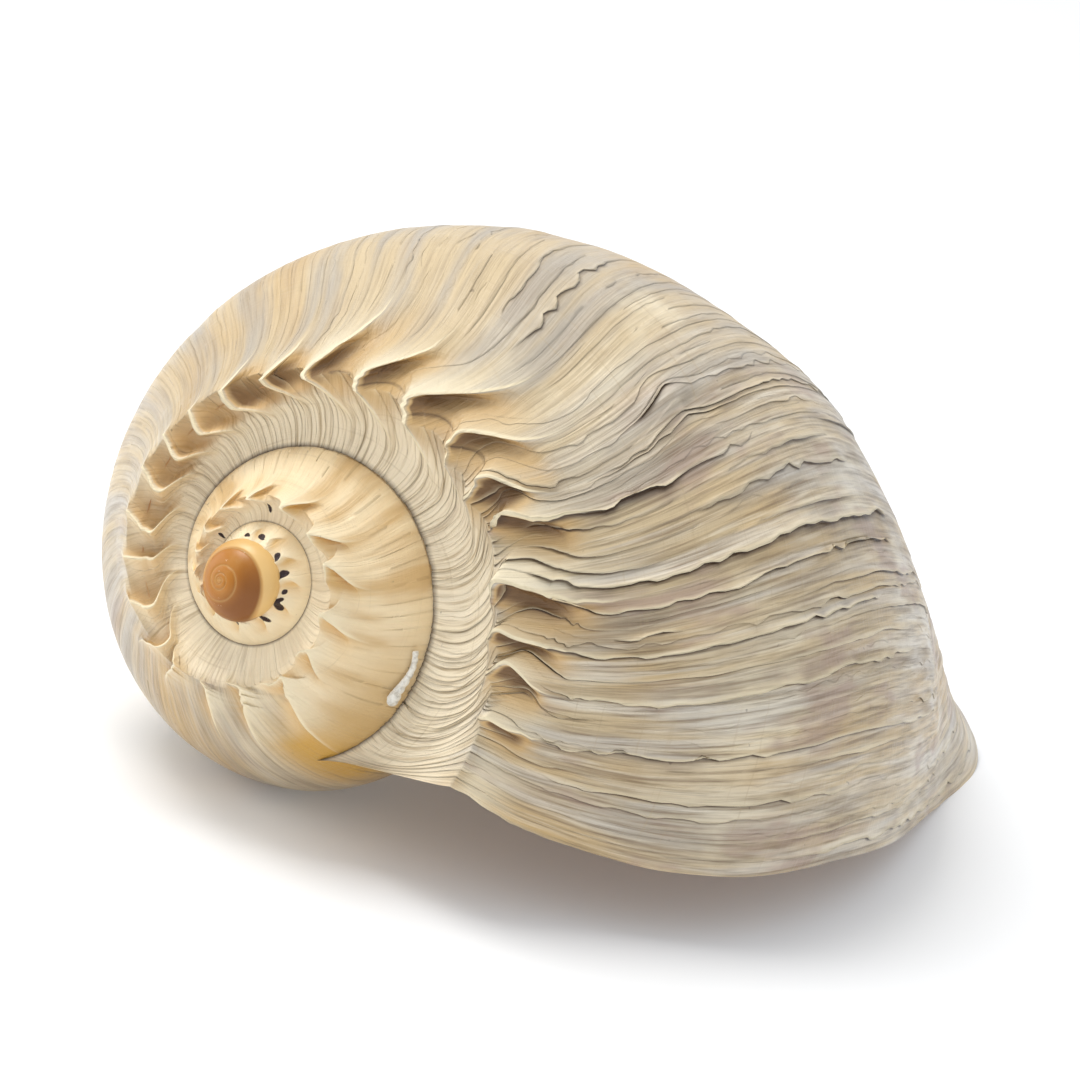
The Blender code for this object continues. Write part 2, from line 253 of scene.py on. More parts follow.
    def point(self, r: Array, z: Array, turn: Array) -> Array:
        """Points in the shell's frame: turns run clockwise seen from the apex."""
        a = TAU * turn
        return np.stack([r * np.cos(a), -r * np.sin(a), z + 0 * a], axis=-1)


@dataclass(frozen=True)
class Spines:
    """Hooded spines of the crown.

    Each entry: growth line, height, centre (from the crown, positive on the flank), lean back
    against growth, width on the ramp side and on the flank side, raggedness, reach of the hollow
    (mm, raggedness as a share).
    """

    entries: tuple[tuple[float, ...], ...] = (
        (-0.0422, 4.4, 4.4, 0.8, 3.0, 6.0, 0.3, 2.4), (-0.0624, 5.8, 5.8, 4.5, 4.8, 4.2, 0.3, 3.2),
        (-0.0851, 7.0, 3.9, 2.8, 3.4, 9.0, 0.3, 3.4), (-0.1069, 8.4, 6.0, 4.9, 4.2, 11.0, 0.4, 3.8),
        (-0.152, 8.4, 8.6, 3.4, 4.4, 8.0, 0.6, 4.2), (-0.1685, 7.8, 8.0, 6.0, 7.2, 3.6, 0.5, 4.6),
        (-0.1955, 8.4, 8.7, 7.7, 7.2, 6.6, 0.4, 5.0), (-0.2262, 8.9, 8.1, 9.5, 8.9, 9.3, 0.25, 5.2),
        (-0.2766, 8.1, 6.7, 5.7, 8.6, 7.6, 0.2, 5.0), (-0.3189, 8.3, 3.5, 4.0, 6.4, 11.5, 0.2, 4.8),
        (-0.364, 7.8, -0.8, 1.6, 3.2, 6.5, 0.2, 4.4), (-0.4004, 8.1, -3.6, 3.0, 2.4, 6.8, 0.2, 4.0),
        (-0.4448, 7.3, -4.7, 4.0, 2.0, 4.4, 0.2, 3.8), (-0.4812, 6.8, -4.8, 4.8, 2.0, 4.1, 0.2, 3.6),
        (-0.5115, 6.3, -5.0, 6.6, 2.1, 4.7, 0.25, 3.4), (-0.5569, 6.1, -5.2, 7.8, 2.3, 4.8, 0.25, 3.2),
        (-0.6081, 4.4, -5.4, 3.7, 2.4, 5.6, 0.5, 2.6), (-0.6448, 4.8, -3.9, 8.1, 3.1, 4.5, 0.4, 2.6),
        (-0.6946, 3.7, -3.0, 7.0, 2.5, 6.8, 0.7, 2.2), (-0.745, 4.2, 0.5, 4.0, 2.4, 6.0, 1.0, 1.8),
        (-0.8011, 4.4, 3.5, 3.0, 2.4, 9.0, 1.6, 1.8), (-0.8398, 4.6, 2.5, 5.0, 2.5, 10.0, 1.6, 1.9),
        (-0.8933, 4.9, 4.2, 6.2, 2.3, 10.0, 1.4, 2.0), (-0.9629, 4.0, 2.1, 4.1, 1.8, 3.0, 0.6, 2.2),
        (-1.029, 4.6, 2.7, 2.9, 1.6, 4.0, 0.5, 2.3), (-1.0951, 4.3, 2.3, 4.8, 1.4, 3.0, 0.5, 2.3),
        (-1.1639, 4.8, 1.4, 3.5, 1.3, 2.8, 0.4, 2.2), (-1.2449, 4.0, 0.7, 3.1, 1.9, 3.3, 0.3, 2.0),
        (-1.3377, 4.0, 0.8, 2.4, 1.4, 2.5, 0.3, 1.9), (-1.4047, 3.5, 0.0, 2.7, 1.4, 2.7, 0.3, 1.7),
        (-1.4911, 3.0, -1.3, 2.4, 1.1, 1.8, 0.3, 1.4), (-1.56, 2.4, -0.8, 1.8, 0.9, 1.8, 0.4, 1.2),
        (-1.62, 2.2, 1.0, 1.8, 1.4, 2.0, 0.5, 1.2), (-1.68, 2.1, 2.2, 1.8, 2.0, 1.8, 0.6, 1.2),
        (-1.75, 2.1, 3.4, 1.8, 2.6, 1.6, 0.6, 1.2), (-1.825, 2.1, 4.2, 1.8, 2.8, 1.6, 0.6, 1.1),
        (-1.9, 2.1, 4.8, 1.8, 3.0, 1.6, 0.6, 1.1), (-1.975, 2.0, 5.0, 1.8, 3.0, 1.6, 0.6, 1.0),
        (-2.055, 1.9, 4.6, 1.7, 2.8, 1.6, 0.6, 1.0), (-2.135, 1.7, 3.8, 1.6, 2.4, 1.6, 0.6, 0.9),
        (-2.22, 1.5, 3.2, 1.5, 2.0, 1.6, 0.6, 0.8), (-2.31, 1.2, 2.6, 1.2, 1.6, 1.5, 0.6, 0.7),
        (-2.4, 0.5, 0.5, 0.2, 0.6, 0.8, 0.6, 0.3))
    tip_direction: tuple[float, float] = (-0.32, 0.95)

    def sorted_table(self) -> Array:
        """The entries from the apex to the lip."""
        return np.array(sorted(self.entries))


@dataclass(frozen=True)
class Scars:
    """Marks that the photograph shows on the outer side.

    Ledges: growth line, start and end from the crown (mm), height (mm), how torn the edge is.
    Bumps: growth line, distance from the crown, length along growth and across, height (mm).
    Spots: growth line, distance from the crown, length along growth and across (mm).
    Knot: growth line and distance from the crown round which the ledges bend, and the bend (mm).
    """

    ledges: tuple[tuple[float, float, float, float, float], ...] = (
        (-0.243, 26.0, 68.0, 0.30, 1.0), (-0.261, 30.0, 60.0, 0.20, 0.6), (-0.152, 2.0, 44.0, 1.2, 0.9),
        (-0.0925, 22.0, 37.0, 1.5, 1.0), (-0.115, 9.0, 118.0, 0.9, 0.4), (-0.1045, 10.0, 112.0, 0.8, 0.5),
        (-0.087, 7.0, 96.0, 1.0, 0.4), (-0.065, 10.0, 92.0, 1.0, 0.4), (-0.043, 12.0, 60.0, 0.8, 0.5),
        (-0.178, 34.0, 50.0, 0.7, 1.0), (-0.136, 40.0, 100.0, 0.4, 0.8), (-0.025, 15.0, 90.0, 0.5, 0.4))
    bumps: tuple[tuple[float, float, float, float, float], ...] = (
        (-0.18, 43.0, 3.2, 4.0, 2.6), (-0.1745, 49.0, 1.8, 3.2, -1.9), (-0.169, 52.0, 1.6, 2.6, -1.2),
        (-0.138, 90.0, 2.4, 5.0, 1.1),
        (-0.4305, 25.3, 1.4, 2.0, -0.5), (-0.4108, 19.7, 1.4, 2.2, -0.5), (-0.3488, 29.2, 1.6, 2.2, -0.5),
        (-0.046, 20.0, 3.2, 6.0, 1.4), (-0.0395, 20.0, 1.8, 5.0, -1.0))
    spots: tuple[tuple[float, float, float, float], ...] = (
        (-2.289, 1.9, 0.9, 0.9), (-2.171, 1.9, 1.0, 1.1), (-2.098, 2.4, 1.1, 1.6), (-1.997, 3.7, 1.5, 1.3),
        (-1.928, 4.6, 0.7, 1.0), (-1.841, 3.1, 0.6, 1.1), (-1.795, 2.1, 0.6, 0.7), (-1.524, -3.4, 0.4, 1.0),
        (-1.344, -2.7, 0.5, 1.2), (-2.36, 1.6, 0.8, 0.8), (-2.04, 3.0, 0.6, 0.7))
    knot: tuple[float, float, float] = (-0.176, 45.0, 3.2)

    def marks(self, n: Array, s: Array, radius: Array) -> Array:
        """Height of the bumps: the sum of round bells in distance along and across growth."""
        out = np.zeros_like(n)
        for place, across, long, wide, height in self.bumps:
            along = (n - place) * TAU * radius
            out += height * np.exp(-(along / long) ** 2 - ((s - across) / wide) ** 2)
        return out

    def dark_spots(self, n: Array, s: Array, radius: Array) -> Array:
        """Dark spots round the first whorls, as bells with a hard edge."""
        out = np.zeros_like(n)
        for place, across, long, wide in self.spots:
            along = (n - place) * TAU * radius
            bell = np.exp(-(along / long) ** 2 - ((s - across) / wide) ** 2)
            out = np.maximum(out, ease(bell, 0.15, 0.75))
        return out


@dataclass
class GrowthGrid:
    """Rows of the outer side: growth ledges between spines, each with its own waver."""

    spiral: Spiral
    spines: Spines
    scars: Scars = field(default_factory=Scars)
    start: float = -2.62
    steps: tuple[float, ...] = (0.0, 0.07, 0.2, 0.4, 0.63, 0.84, 1.0)
    parts_last: int = 6
    parts_early: int = 4
    ramp_columns: int = 42
    near_columns: int = 34
    flank_columns: int = 140
    near_share: float = 0.12
    ramp_width: float = 21.5
    undercut: float = 0.22
    set_back: float = 0.42
    seed: int = 11

    def __post_init__(self) -> None:
        """Works out the columns, the ledge lines and their sizes."""
        self.f, self.u = self.columns()
        self.flank = (self.u > 0)[None]
        self.on = self.flank.astype(float)
        self.edges, self.major = self.lay_edges()
        self.late = ease(self.edges, -0.62, -0.2)[:, None]
        self.last = ease(self.edges, -0.9, -0.8)[:, None]
        self.size = self.spiral.scale(self.edges)[:, None]
        n = self.edges[:, None] + 0 * self.u[None]
        self.radius = np.maximum(self.spiral.whorl(n, 0 * n + self.u[None])[0], 3)

    def columns(self) -> tuple[Array, Array]:
        """Ramp share and flank share of every column, the crown shared by both."""
        f = np.linspace(0, 1, self.ramp_columns + 1) ** 0.9
        near = np.linspace(0, self.near_share, self.near_columns + 1)
        far = np.linspace(self.near_share, 1, self.flank_columns + 1)[1:]
        share = np.concatenate([near, far])
        return (np.concatenate([f, np.ones(len(share) - 1)]),
                np.concatenate([np.zeros(len(f) - 1), share]))

    def distance(self) -> Array:
        """Distance of every column from the crown at the lip, in mm."""
        u = np.linspace(0, 1, 400)
        r, z, _ = self.spiral.whorl(0 * u, u)
        length = np.concatenate([[0], np.cumsum(np.hypot(np.diff(r), np.diff(z)))])
        return np.interp(self.u, u, length)[None]

    def lay_edges(self) -> tuple[Array, Array]:
        """Growth-ledge lines: every spine is one, with small ledges scattered between.

        Returns:
            Growth lines, and for each the number of its spine or -1.
        """
        rng = np.random.default_rng(self.seed)
        table = self.spines.sorted_table()
        marks = np.concatenate([[self.start], table[:, 0], [0.0]])
        edges, major = [self.start], [-1]
        for m, (a, b) in enumerate(zip(marks[:-1], marks[1:])):
            parts = self.parts_last if a > -0.86 else self.parts_early
            parts = parts + (2 if a > -0.07 else 0)
            cuts = (np.arange(1, parts) + rng.uniform(-0.28, 0.28, parts - 1)) / parts
            cuts = a + (b - a) * cuts
            for place in (scar[0] for scar in self.scars.ledges):
                if a + 0.002 < place < b - 0.002:
                    cuts[np.argmin(np.abs(cuts - place))] = place
            edges.extend([*np.sort(cuts), b])
            major.extend([-1] * (parts - 1) + [m if m < len(table) else -1])
        return np.array(edges), np.array(major)

    def ledge_lines(self) -> tuple[Array, Array]:
        """Wavering ledge lines, finer and rougher towards the lip, torn and bent at the scars.

        Returns:
            Growth line and raised height (mm) of every ledge at every column.
        """
        edges, u, late = self.edges, self.u, self.late
        shape = (len(edges), len(u))
        s = np.where(self.flank, self.distance(), -5.0) * self.size
        torn = np.clip(line_noise(*shape, 12, 24) * 1.4, 0, 1)
        lifted = np.zeros(shape)
        for place, start, end, height, tear in self.scars.ledges:
            line = int(np.argmin(np.abs(edges - place)))
            reach = ease(s[line], start, start + 5) * (1 - ease(s[line], end - 9, end))
            lifted[line] = np.maximum(lifted[line], height * reach)
            torn[line] = np.maximum(torn[line], 1.5 * tear * reach)
        waver = (0.55 * line_noise(*shape, 7, 21) + 0.35 * line_noise(*shape, 30, 22) * late
                 + (0.12 + 0.75 * torn) * line_noise(*shape, 110, 23) * late * ease(s, 6, 18))
        place, across, bend = self.scars.knot
        near = np.exp(-((edges - place) / 0.016) ** 2)[:, None] * self.on
        waver = waver - bend * near * np.exp(-((s - across) / 6.5) ** 2)
        waver = waver * (0.35 + 0.65 * self.last) * np.sqrt(self.size)
        lines = edges[:, None] + waver / (TAU * self.radius)
        reach_out = 1.1 * np.exp(-((u - 0.54) / 0.11) ** 2)
        lines[-1] = edges[-1] + (0.35 * waver[-1] + reach_out) / (TAU * self.radius[-1])
        gap = np.diff(edges) * 0.3
        for k in range(1, len(edges)):
            lines[k] = np.maximum(lines[k], lines[k - 1] + gap[k - 1])
        lines[0] = self.start
        return lines, lifted

    def ledge_heights(self, lifted: Array) -> Array:
        """Height of every ledge along its line, fading in and out, and low before the last sixth.

        Args:
            lifted: least height that the scars ask for.
        Returns:
            Heights in mm, ledges by columns.
        """
        edges, u, on = self.edges, self.u, self.on
        shape = lifted.shape
        strength = line_noise(*shape, 9, 31) * 0.9 + line_noise(*shape, 3, 32) * 0.6 - 0.05
        strength = np.clip(strength, 0, 1.1)
        on_ramp = 0.42 * (0.4 + 0.6 * self.late) * np.clip(self.size, 0.25, 1)
        ramp_strength = np.clip(0.55 + 0.6 * line_noise(*shape, 5, 33), 0.12, 1.1)
        on_flank = (0.05 + 0.36 * self.late) * (0.15 + 0.85 * self.last)
        on_flank = on_flank * np.where((self.major >= 0)[:, None], 1.25, 1.0)
        covered = ease(u, 0.26, 0.31)[None] * (1 - ease(edges, -0.9, -0.86)[:, None])
        away = 1 - 0.55 * ease(u, 0.45, 0.95)[None]
        ledge = np.where(self.flank, strength * on_flank * away, ramp_strength * on_ramp)
        blend = self.crown_blend()
        ledge = ledge * (1 - blend) + blend * 0.5 * (on_flank * 0.6 + on_ramp)
        quiet = (1 - ease(edges, -0.20, -0.16))[:, None] * on
        calm = (1 + 0.35 * ease(edges, -0.18, -0.14)[:, None] * on
                - quiet * (0.80 - 0.15 * ease(u, 0.3, 0.6)[None]))
        return np.maximum(ledge * (1 - covered) * calm, lifted)

    def crown_blend(self) -> Array:
        """Bell over the columns next to the crown, 1 at the crown."""
        return np.exp(-((np.arange(len(self.u)) - self.ramp_columns) / 6.0) ** 2)[None]

    def build(self) -> dict[str, Array]:
        """Works out the outer side.

        Each interval between two ledge lines holds rows at fixed shares t of the way. The height
        of a row is the ledge's own height times t^2.6, and falls back to nothing at the next row,
        which starts a little behind it. A spine's hood rises as T^2.3 (T^1.3 near the lip) over
        the way from the spine before and falls inside the hollow as exp(-(x / 0.3 reach)^1.3)
        with the distance x behind it.

        Returns:
            Points in mm, masks and pattern coordinates, all as rows by columns.
        """
        sp, f, u, on = self.spiral, self.f, self.u, self.on
        lines, lifted = self.ledge_lines()
        ledge = self.ledge_heights(lifted)
        t = np.tile(np.array(self.steps), len(self.edges) - 1)
        k = np.repeat(np.arange(len(self.edges) - 1), len(self.steps))
        tt = t[:, None]
        n = lines[k] + (lines[k + 1] - lines[k]) * tt
        n_mid = self.edges[k] + (self.edges[k + 1] - self.edges[k]) * t
        scale = sp.scale(n_mid)[:, None]
        s = np.where(self.flank, self.distance(), 0) * scale
        s = s - (1 - f)[None] * (self.ramp_width * scale) * (1 - on)

        # Way of each row between the spine behind and the spine ahead.
        table = self.spines.sorted_table()
        major_rows = np.nonzero(self.major >= 0)[0]
        ahead = np.searchsorted(major_rows, k + 1)
        last_spine = len(major_rows) - 1
        has_a = (ahead <= last_spine).astype(float)[:, None]
        has_b = (ahead >= 1).astype(float)[:, None]
        ia = np.clip(ahead, 0, last_spine)
        ib = np.clip(ahead - 1, 0, last_spine)
        line_a = np.where(has_a > 0, lines[major_rows[ia]], lines[-1][None] + 0.02)
        line_b = np.where(has_b > 0, lines[major_rows[ib]], lines[0][None])
        phase = np.clip((n - line_b) / np.maximum(line_a - line_b, 1e-5), 0, 1)
        crown_radius = np.maximum(sp.whorl(n_mid, 0 * n_mid)[0], 2.0)[:, None]
        behind = np.maximum(n - line_b, 0) * TAU * crown_radius

        # Hoods: the one that rises ahead and the one that falls behind, with its pit.
        shape = (last_spine + 1, len(u))
        rag = line_noise(*shape, 60, 41) * 0.6 + line_noise(*shape, 24, 42) * 0.7
        hood_a, wide_a, lean_a, wall_a = self.hood(table[ia], s, rag[ia])
        hood_b, wide_b, lean_b, wall_b = self.hood(table[ib], s, rag[ib])
        near_lip = ease(n_mid, -0.21, -0.16)[:, None]
        start = 0.15 + 0.30 * ease(-n_mid, 0.32, 0.40)[:, None]
        rise = np.clip((phase - start) / (1 - start), 0, 1) ** (2.3 - 1.0 * near_lip)
        reach = table[ib, 7][:, None]
        fall = np.exp(-(behind / (0.30 * reach)) ** 1.3)
        side = np.exp(-(behind / (1.2 * reach)) ** 1.5)
        foot = (tt == 0.0) & (self.major[k] >= 0)[:, None]
        hood = (hood_a + wall_a) * rise * has_a
        hood = hood + (hood_b * fall + wall_b * side) * has_b * np.where(foot, 0.985, 1.0)
        lean = lean_a * phase * has_a + lean_b * (1 - phase) * has_b
        lean = lean - 0.55 * np.clip(hood_b / 5, 0, 1) * np.exp(-behind / 1.2) * has_b * (tt < 1)
        pit = (0.20 + 0.14 * near_lip) * table[ib, 1][:, None] * wide_b
        hood = hood - pit * np.exp(-((behind - reach) / (0.8 * reach)) ** 2) * has_b

        # Ledge height inside the interval, with a small undercut at its foot.
        under = (tt == 0) * ledge[k] * np.where(foot, 1 - np.clip(hood_b / 2, 0, 1), 1.0)
        lift = ledge[k + 1] * tt**2.6 - self.undercut * under
        n = n - (self.set_back * np.minimum(under, 1.0) + lean) / (TAU * self.radius[k])

        points = self.shape(n, lift, hood, self.body(n, n_mid, s, scale, self.radius[k]))
        rim = np.clip(hood_a * (tt > 0.9) * (self.major[k + 1] >= 0)[:, None] / 2.0, 0, 1)
        rim = np.maximum(rim, np.clip(hood_b * foot / 2.0, 0, 1))
        edge = (tt > 0.8) * np.clip(ledge[k + 1] * 1.3, 0, 1) * (tt - 0.75) / 0.25
        # Hollow behind each spine's rim: brown of the hollow, with painted shade strongest right behind the
        # rim.
        hollow = wide_b * np.exp(-(behind / (1.5 * reach)) ** 1.5) * has_b * ease(behind, 0.05, 0.5)
        # Painted shade along the seam of the hollow, drawn as a dark slit line.
        seam = (table[ib, 2] - 0.55 * table[ib, 4])[:, None]
        slit_shade = np.exp(-((s - seam - 0.10 * behind) / 0.32) ** 2) * hollow
        arc = sp.arc(sp.growth_radius[0] * n) / sp.growth_radius[0]
        full = 0 * n
        return {
            "points": points, "n": n, "n_mid": n_mid, "s": s + full, "u": u[None] + full,
            "edge": np.maximum(edge, rim), "groove_and_shade": self.ledge_shade_and_suture(ledge[k], tt, rim, n_mid), "hollow": hollow,
            "back": wide_a * np.sqrt(rise), "slit_shade": slit_shade * ((n_mid > -0.31) & (n_mid < -0.17))[:, None],
            "ramp": (1 - on) * (1 - 0.6 * self.crown_blend()) + full,
            "old": 1 - ease(n_mid, -0.885, -0.865)[:, None] + full,
            "spot": self.scars.dark_spots(n, s, crown_radius + 0.6 * np.maximum(s, 0)),
            "flow": pattern(arc, s + full, 0.3 * k[:, None] + full)}

    def ledge_shade_and_suture(self, ledge: Array, t: Array, rim: Array, n_mid: Array) -> Array:
        """Painted shade as a dark line at the foot of each ledge, fading over the next rows, and a dark line
        along the suture, but not on a spine's rim.
        """
        groove_and_shade = np.maximum((t == 0) * np.clip(ledge * 3.2 - 0.15, 0, 1),
                           (np.abs(t - 0.07) < 1e-6) * np.clip(ledge * 2.6 - 0.30, 0, 1))
        groove_and_shade = np.maximum(groove_and_shade, (np.abs(t - 0.2) < 1e-6) * np.clip(ledge * 1.2 - 0.55, 0, 0.7))
        groove_and_shade = groove_and_shade * (1 - rim) * (1 - 0.6 * (1 - self.on))
        joint = (1 - ease(self.f, 0.012, 0.05))[None] * (1 - self.on) * (n_mid > -1.9)[:, None]
        return np.maximum(groove_and_shade, 0.9 * joint)

    def body(self, n: Array, n_mid: Array, s: Array, scale: Array, radius: Array) -> Array:
        """Low swellings of the wall in mm: smooth noise plus the scars' bumps, fading to the apex."""
        shape = n.shape
        body = value_noise(shape, (90, 14), 51) * 0.30 + value_noise(shape, (240, 40), 52) * 0.10
        body = body + self.scars.marks(n, s, radius) * self.on
        return body * np.clip(scale, 0.1, 1) * (0.25 + 0.75 * ease(n_mid, -0.8, -0.2)[:, None])

    def shape(self, n: Array, lift: Array, hood: Array, body: Array) -> Array:
        """Points of the surface.

        Ledges and swellings stand along the flank's normal, which turns to straight up over the
        ramp, and hoods along their own direction towards the apex.

        Args:
            n: growth line of every point.
            lift: ledge height in mm.
            hood: hood height in mm.
            body: height of the swellings in mm.
        Returns:
            Points in mm in the shell's frame.
        """
        sp, zero = self.spiral, 0 * n
        fr, fz, ft = sp.whorl(n, zero + self.u[None])
        nr, nz = sp.normal(n, zero + self.u[None])
        rr, rz, rt = sp.ramp(n, zero + self.f[None])
        over = np.clip((self.ramp_columns - np.arange(len(self.u))) / 14.0, 0, 1)[None]
        over = over * over * (3 - 2 * over)
        nr0, nz0 = sp.normal(n, zero)
        dr = np.where(self.flank, nr, nr0 * (1 - over) + 0.05 * over)
        dz = np.where(self.flank, nz, nz0 * (1 - over) + 1.0 * over)
        tip_r, tip_z = self.spines.tip_direction
        r = np.where(self.flank, fr, rr) + dr * lift + tip_r * hood + dr * body
        z = np.where(self.flank, fz, rz) + dz * lift + tip_z * hood + dz * body
        return sp.point(r, z, np.where(self.flank, ft, rt))

    def hood(self, entry: Array, s: Array, rag: Array) -> tuple[Array, ...]:
        """Hood of one spine across the crown.

        Height times exp(-|x / 1.15|^2.1) and lean times exp(-|x|^1.9), with x the distance from
        the spine's centre as a share of its width on that side. Low walls stand at both sides.

        Args:
            entry: spine values, one row per mesh row.
            s: distance from the crown in mm, negative on the ramp.
            rag: noise of the spine's own edge.
        Returns:
            Height, spread from 0 to 1, lean back in mm, and height of the side walls.
        """
        height, centre, lean, ramp_side, flank_side, ragged = (entry[:, c][:, None] for c in range(1, 7))
        w = np.where(s < centre, ramp_side, flank_side)
        x = (s - centre) / w
        spread = np.exp(-np.abs(x / 1.15) ** 2.1)
        torn = 1 + 0.22 * ragged * rag
        walls = 0.17 * height * np.exp(-((np.abs(x) - 1.25) / 0.55) ** 2) * torn
        lean = lean * np.exp(-np.abs(x) ** 1.9) * (1 + 0.2 * ragged * rag)
        height = height * spread * torn
        return height, spread, lean, walls


def make_piece(name: str, points: Array, faces: Array, masks: dict[str, Array]) -> Object:
    """Puts points, faces and masks into a mesh object at the origin.

    Args:
        name: name of the piece.
        points: resting-frame points in metres.
        faces: four corners a row; a corner repeated at the end makes a triangle.
        masks: point attributes, one number or one vector for each point.
    Returns:
        The new object, smooth shaded.
    """
    used = np.unique(faces)
    lookup = np.zeros(len(points), int)
    lookup[used] = np.arange(len(used))
    points = points[used]
    faces = lookup[faces]
    tri = faces[:, 3] == faces[:, 2]
    mesh = bpy.data.meshes.new(name)
    mesh.vertices.add(len(points))
    mesh.vertices.foreach_set("co", points.astype(np.float32).ravel())
    sizes = np.where(tri, 3, 4)
    starts = np.concatenate([[0], np.cumsum(sizes)[:-1]])
    keep = np.ones((len(faces), 4), bool)
    keep[tri, 3] = False
    mesh.loops.add(int(sizes.sum()))
    mesh.loops.foreach_set("vertex_index", faces[keep].astype(np.int32))
    mesh.polygons.add(len(faces))
    mesh.polygons.foreach_set("loop_start", starts.astype(np.int32))
    mesh.polygons.foreach_set("use_smooth", np.ones(len(faces), bool))
    mesh.update(calc_edges=True)
    mesh.validate()
    for key, values in masks.items():
        vector = values.ndim == 2
        layer = mesh.attributes.new(key, "FLOAT_VECTOR" if vector else "FLOAT", "POINT")
        layer.data.foreach_set("vector" if vector else "value", values[used].astype(np.float32).ravel())
    obj = bpy.data.objects.new(name, mesh)
    bpy.context.scene.collection.objects.link(obj)
    return obj


def grid_faces(rows: int, cols: int, flip: bool = False, wrap: bool = False) -> Array:
    """Four-cornered faces of a grid whose points are stored row by row."""
    span = cols if wrap else cols - 1
    i, j = np.meshgrid(np.arange(rows - 1), np.arange(span), indexing="ij")
    a = i * cols + j
    b = i * cols + (j + 1) % cols
    quads = np.stack([a, b, b + cols, a + cols], axis=-1).reshape(-1, 4)
    return quads[:, ::-1] if flip else quads


class Tint(Enum):
    """Display colours of the shell, 0 to 255."""

    BEIGE = (206, 184, 146)
    GREY = (180, 168, 150)
    GOLD = (198, 164, 108)
    CREAM = (246, 232, 200)
    RAMP = (246, 232, 204)
    RAMP_LINE = (180, 158, 122)
    OLD = (244, 222, 182)
    OLD_TAN = (214, 180, 128)
    OLD_PALE = (252, 237, 206)
    HOLLOW = (212, 170, 104)
    # Painted shade behind the rims of the spines' hollows.
    HOLLOW_SHADE = (94, 60, 30)
    # Dark brown: painted shade under the ledges and along the hollows' seams, the suture line, and small dark
    # specks.
    SHADE_AND_SPECK = (66, 44, 26)
    EDGE = (244, 228, 192)
    YELLOW = (222, 172, 86)
    INSIDE = (206, 150, 98)
    INSIDE_PALE = (232, 196, 146)
    DOME_DARK = (132, 76, 14)
    CALLUS = (206, 160, 76)
    RING = (246, 230, 196)
    WHITE = (232, 228, 220)
    ROSE = (176, 150, 134)
    LINE = (116, 92, 64)
    GLINT = (246, 236, 214)
    DOME = (176, 110, 22)
    DOME_PALE = (224, 184, 118)
    SPOT = (38, 12, 14)
    TUBE = (232, 229, 220)
    TUBE_GREY = (186, 180, 168)


@dataclass
class Nodes:
    """Small helper that lays nodes of one material."""

    material: Material

    def add(self, kind: str, **values: object) -> bpy.types.Node:
        """A new node of that kind with its own settings."""
        node = self.material.node_tree.nodes.new(kind)
        for key, value in values.items():
            setattr(node, key, value)
        return node

    def link(self, source: Socket, target: Socket) -> None:
        """Joins two sockets."""
        self.material.node_tree.links.new(source, target)

    def attribute(self, name: str, vector: bool = False) -> Socket:
        """A point attribute of the piece."""
        node = self.add("ShaderNodeAttribute", attribute_name=name)
        return node.outputs["Vector" if vector else "Fac"]

    def place(self) -> Socket:
        """Object coordinates."""
        return self.add("ShaderNodeTexCoord").outputs["Object"]

    def noise(self, source: Socket, scale: float, detail: float = 3.0, rough: float = 0.5) -> Socket:
        """Noise from 0 to 1 on the vector."""
        node = self.add("ShaderNodeTexNoise")
        self.link(source, node.inputs["Vector"])
        node.inputs["Scale"].default_value = scale
        node.inputs["Detail"].default_value = detail
        node.inputs["Roughness"].default_value = rough
        return node.outputs["Fac"]

    def streaks(self, along: float, across: float, scale: float, detail: float = 3.0,
                rough: float = 0.5) -> Socket:
        """Noise that follows the growth lines, stretched by its scales along and across growth."""
        node = self.add("ShaderNodeVectorMath", operation="MULTIPLY")
        self.link(self.attribute("flow", True), node.inputs[0])
        node.inputs[1].default_value = (along, across, 0.0)
        return self.noise(node.outputs[0], scale, detail, rough)

    def range(self, source: Socket, low: float, high: float, to_low: float = 0.0,
              to_high: float = 1.0) -> Socket:
        """Maps low..high to to_low..to_high, clamped and eased."""
        node = self.add("ShaderNodeMapRange", interpolation_type="SMOOTHSTEP")
        self.link(source, node.inputs["Value"])
        for key, value in (("From Min", low), ("From Max", high), ("To Min", to_low), ("To Max", to_high)):
            node.inputs[key].default_value = value
        return node.outputs["Result"]

    def math(self, kind: str, a: Socket, b: Socket | float) -> Socket:
        """Arithmetic of two values."""
        node = self.add("ShaderNodeMath", operation=kind)
        self.link(a, node.inputs[0])
        if isinstance(b, float):
            node.inputs[1].default_value = b
        else:
            self.link(b, node.inputs[1])
        return node.outputs[0]

    def mix(self, share: Socket, a: Socket | Tint, b: Socket | Tint) -> Socket:
        """Mixes two colours by a share."""
        node = self.add("ShaderNodeMix", data_type="RGBA")
        self.link(share, node.inputs["Factor"])
        for key, value in ((6, a), (7, b)):
            if isinstance(value, Tint):
                node.inputs[key].default_value = linear(value.value)
            else:
                self.link(value, node.inputs[key])
        return node.outputs[2]

    def veil(self, colour: Socket, tint: Tint | Socket, share: Socket,
             times: Socket | float | None = None) -> Socket:
        """Lays a tint over a colour by a share, times a second share where one is given."""
        if times is not None:
            share = self.math("MULTIPLY", share, times)
        return self.mix(share, colour, tint)

    def bump(self, height: Socket, strength: float, distance: float,
             before: Socket | None = None) -> Socket:
        """Bump from a height, on top of another bump where one is given."""
        node = self.add("ShaderNodeBump")
        node.inputs["Strength"].default_value = strength
        node.inputs["Distance"].default_value = distance
        self.link(height, node.inputs["Height"])
        if before is not None:
            self.link(before, node.inputs["Normal"])
        return node.outputs["Normal"]


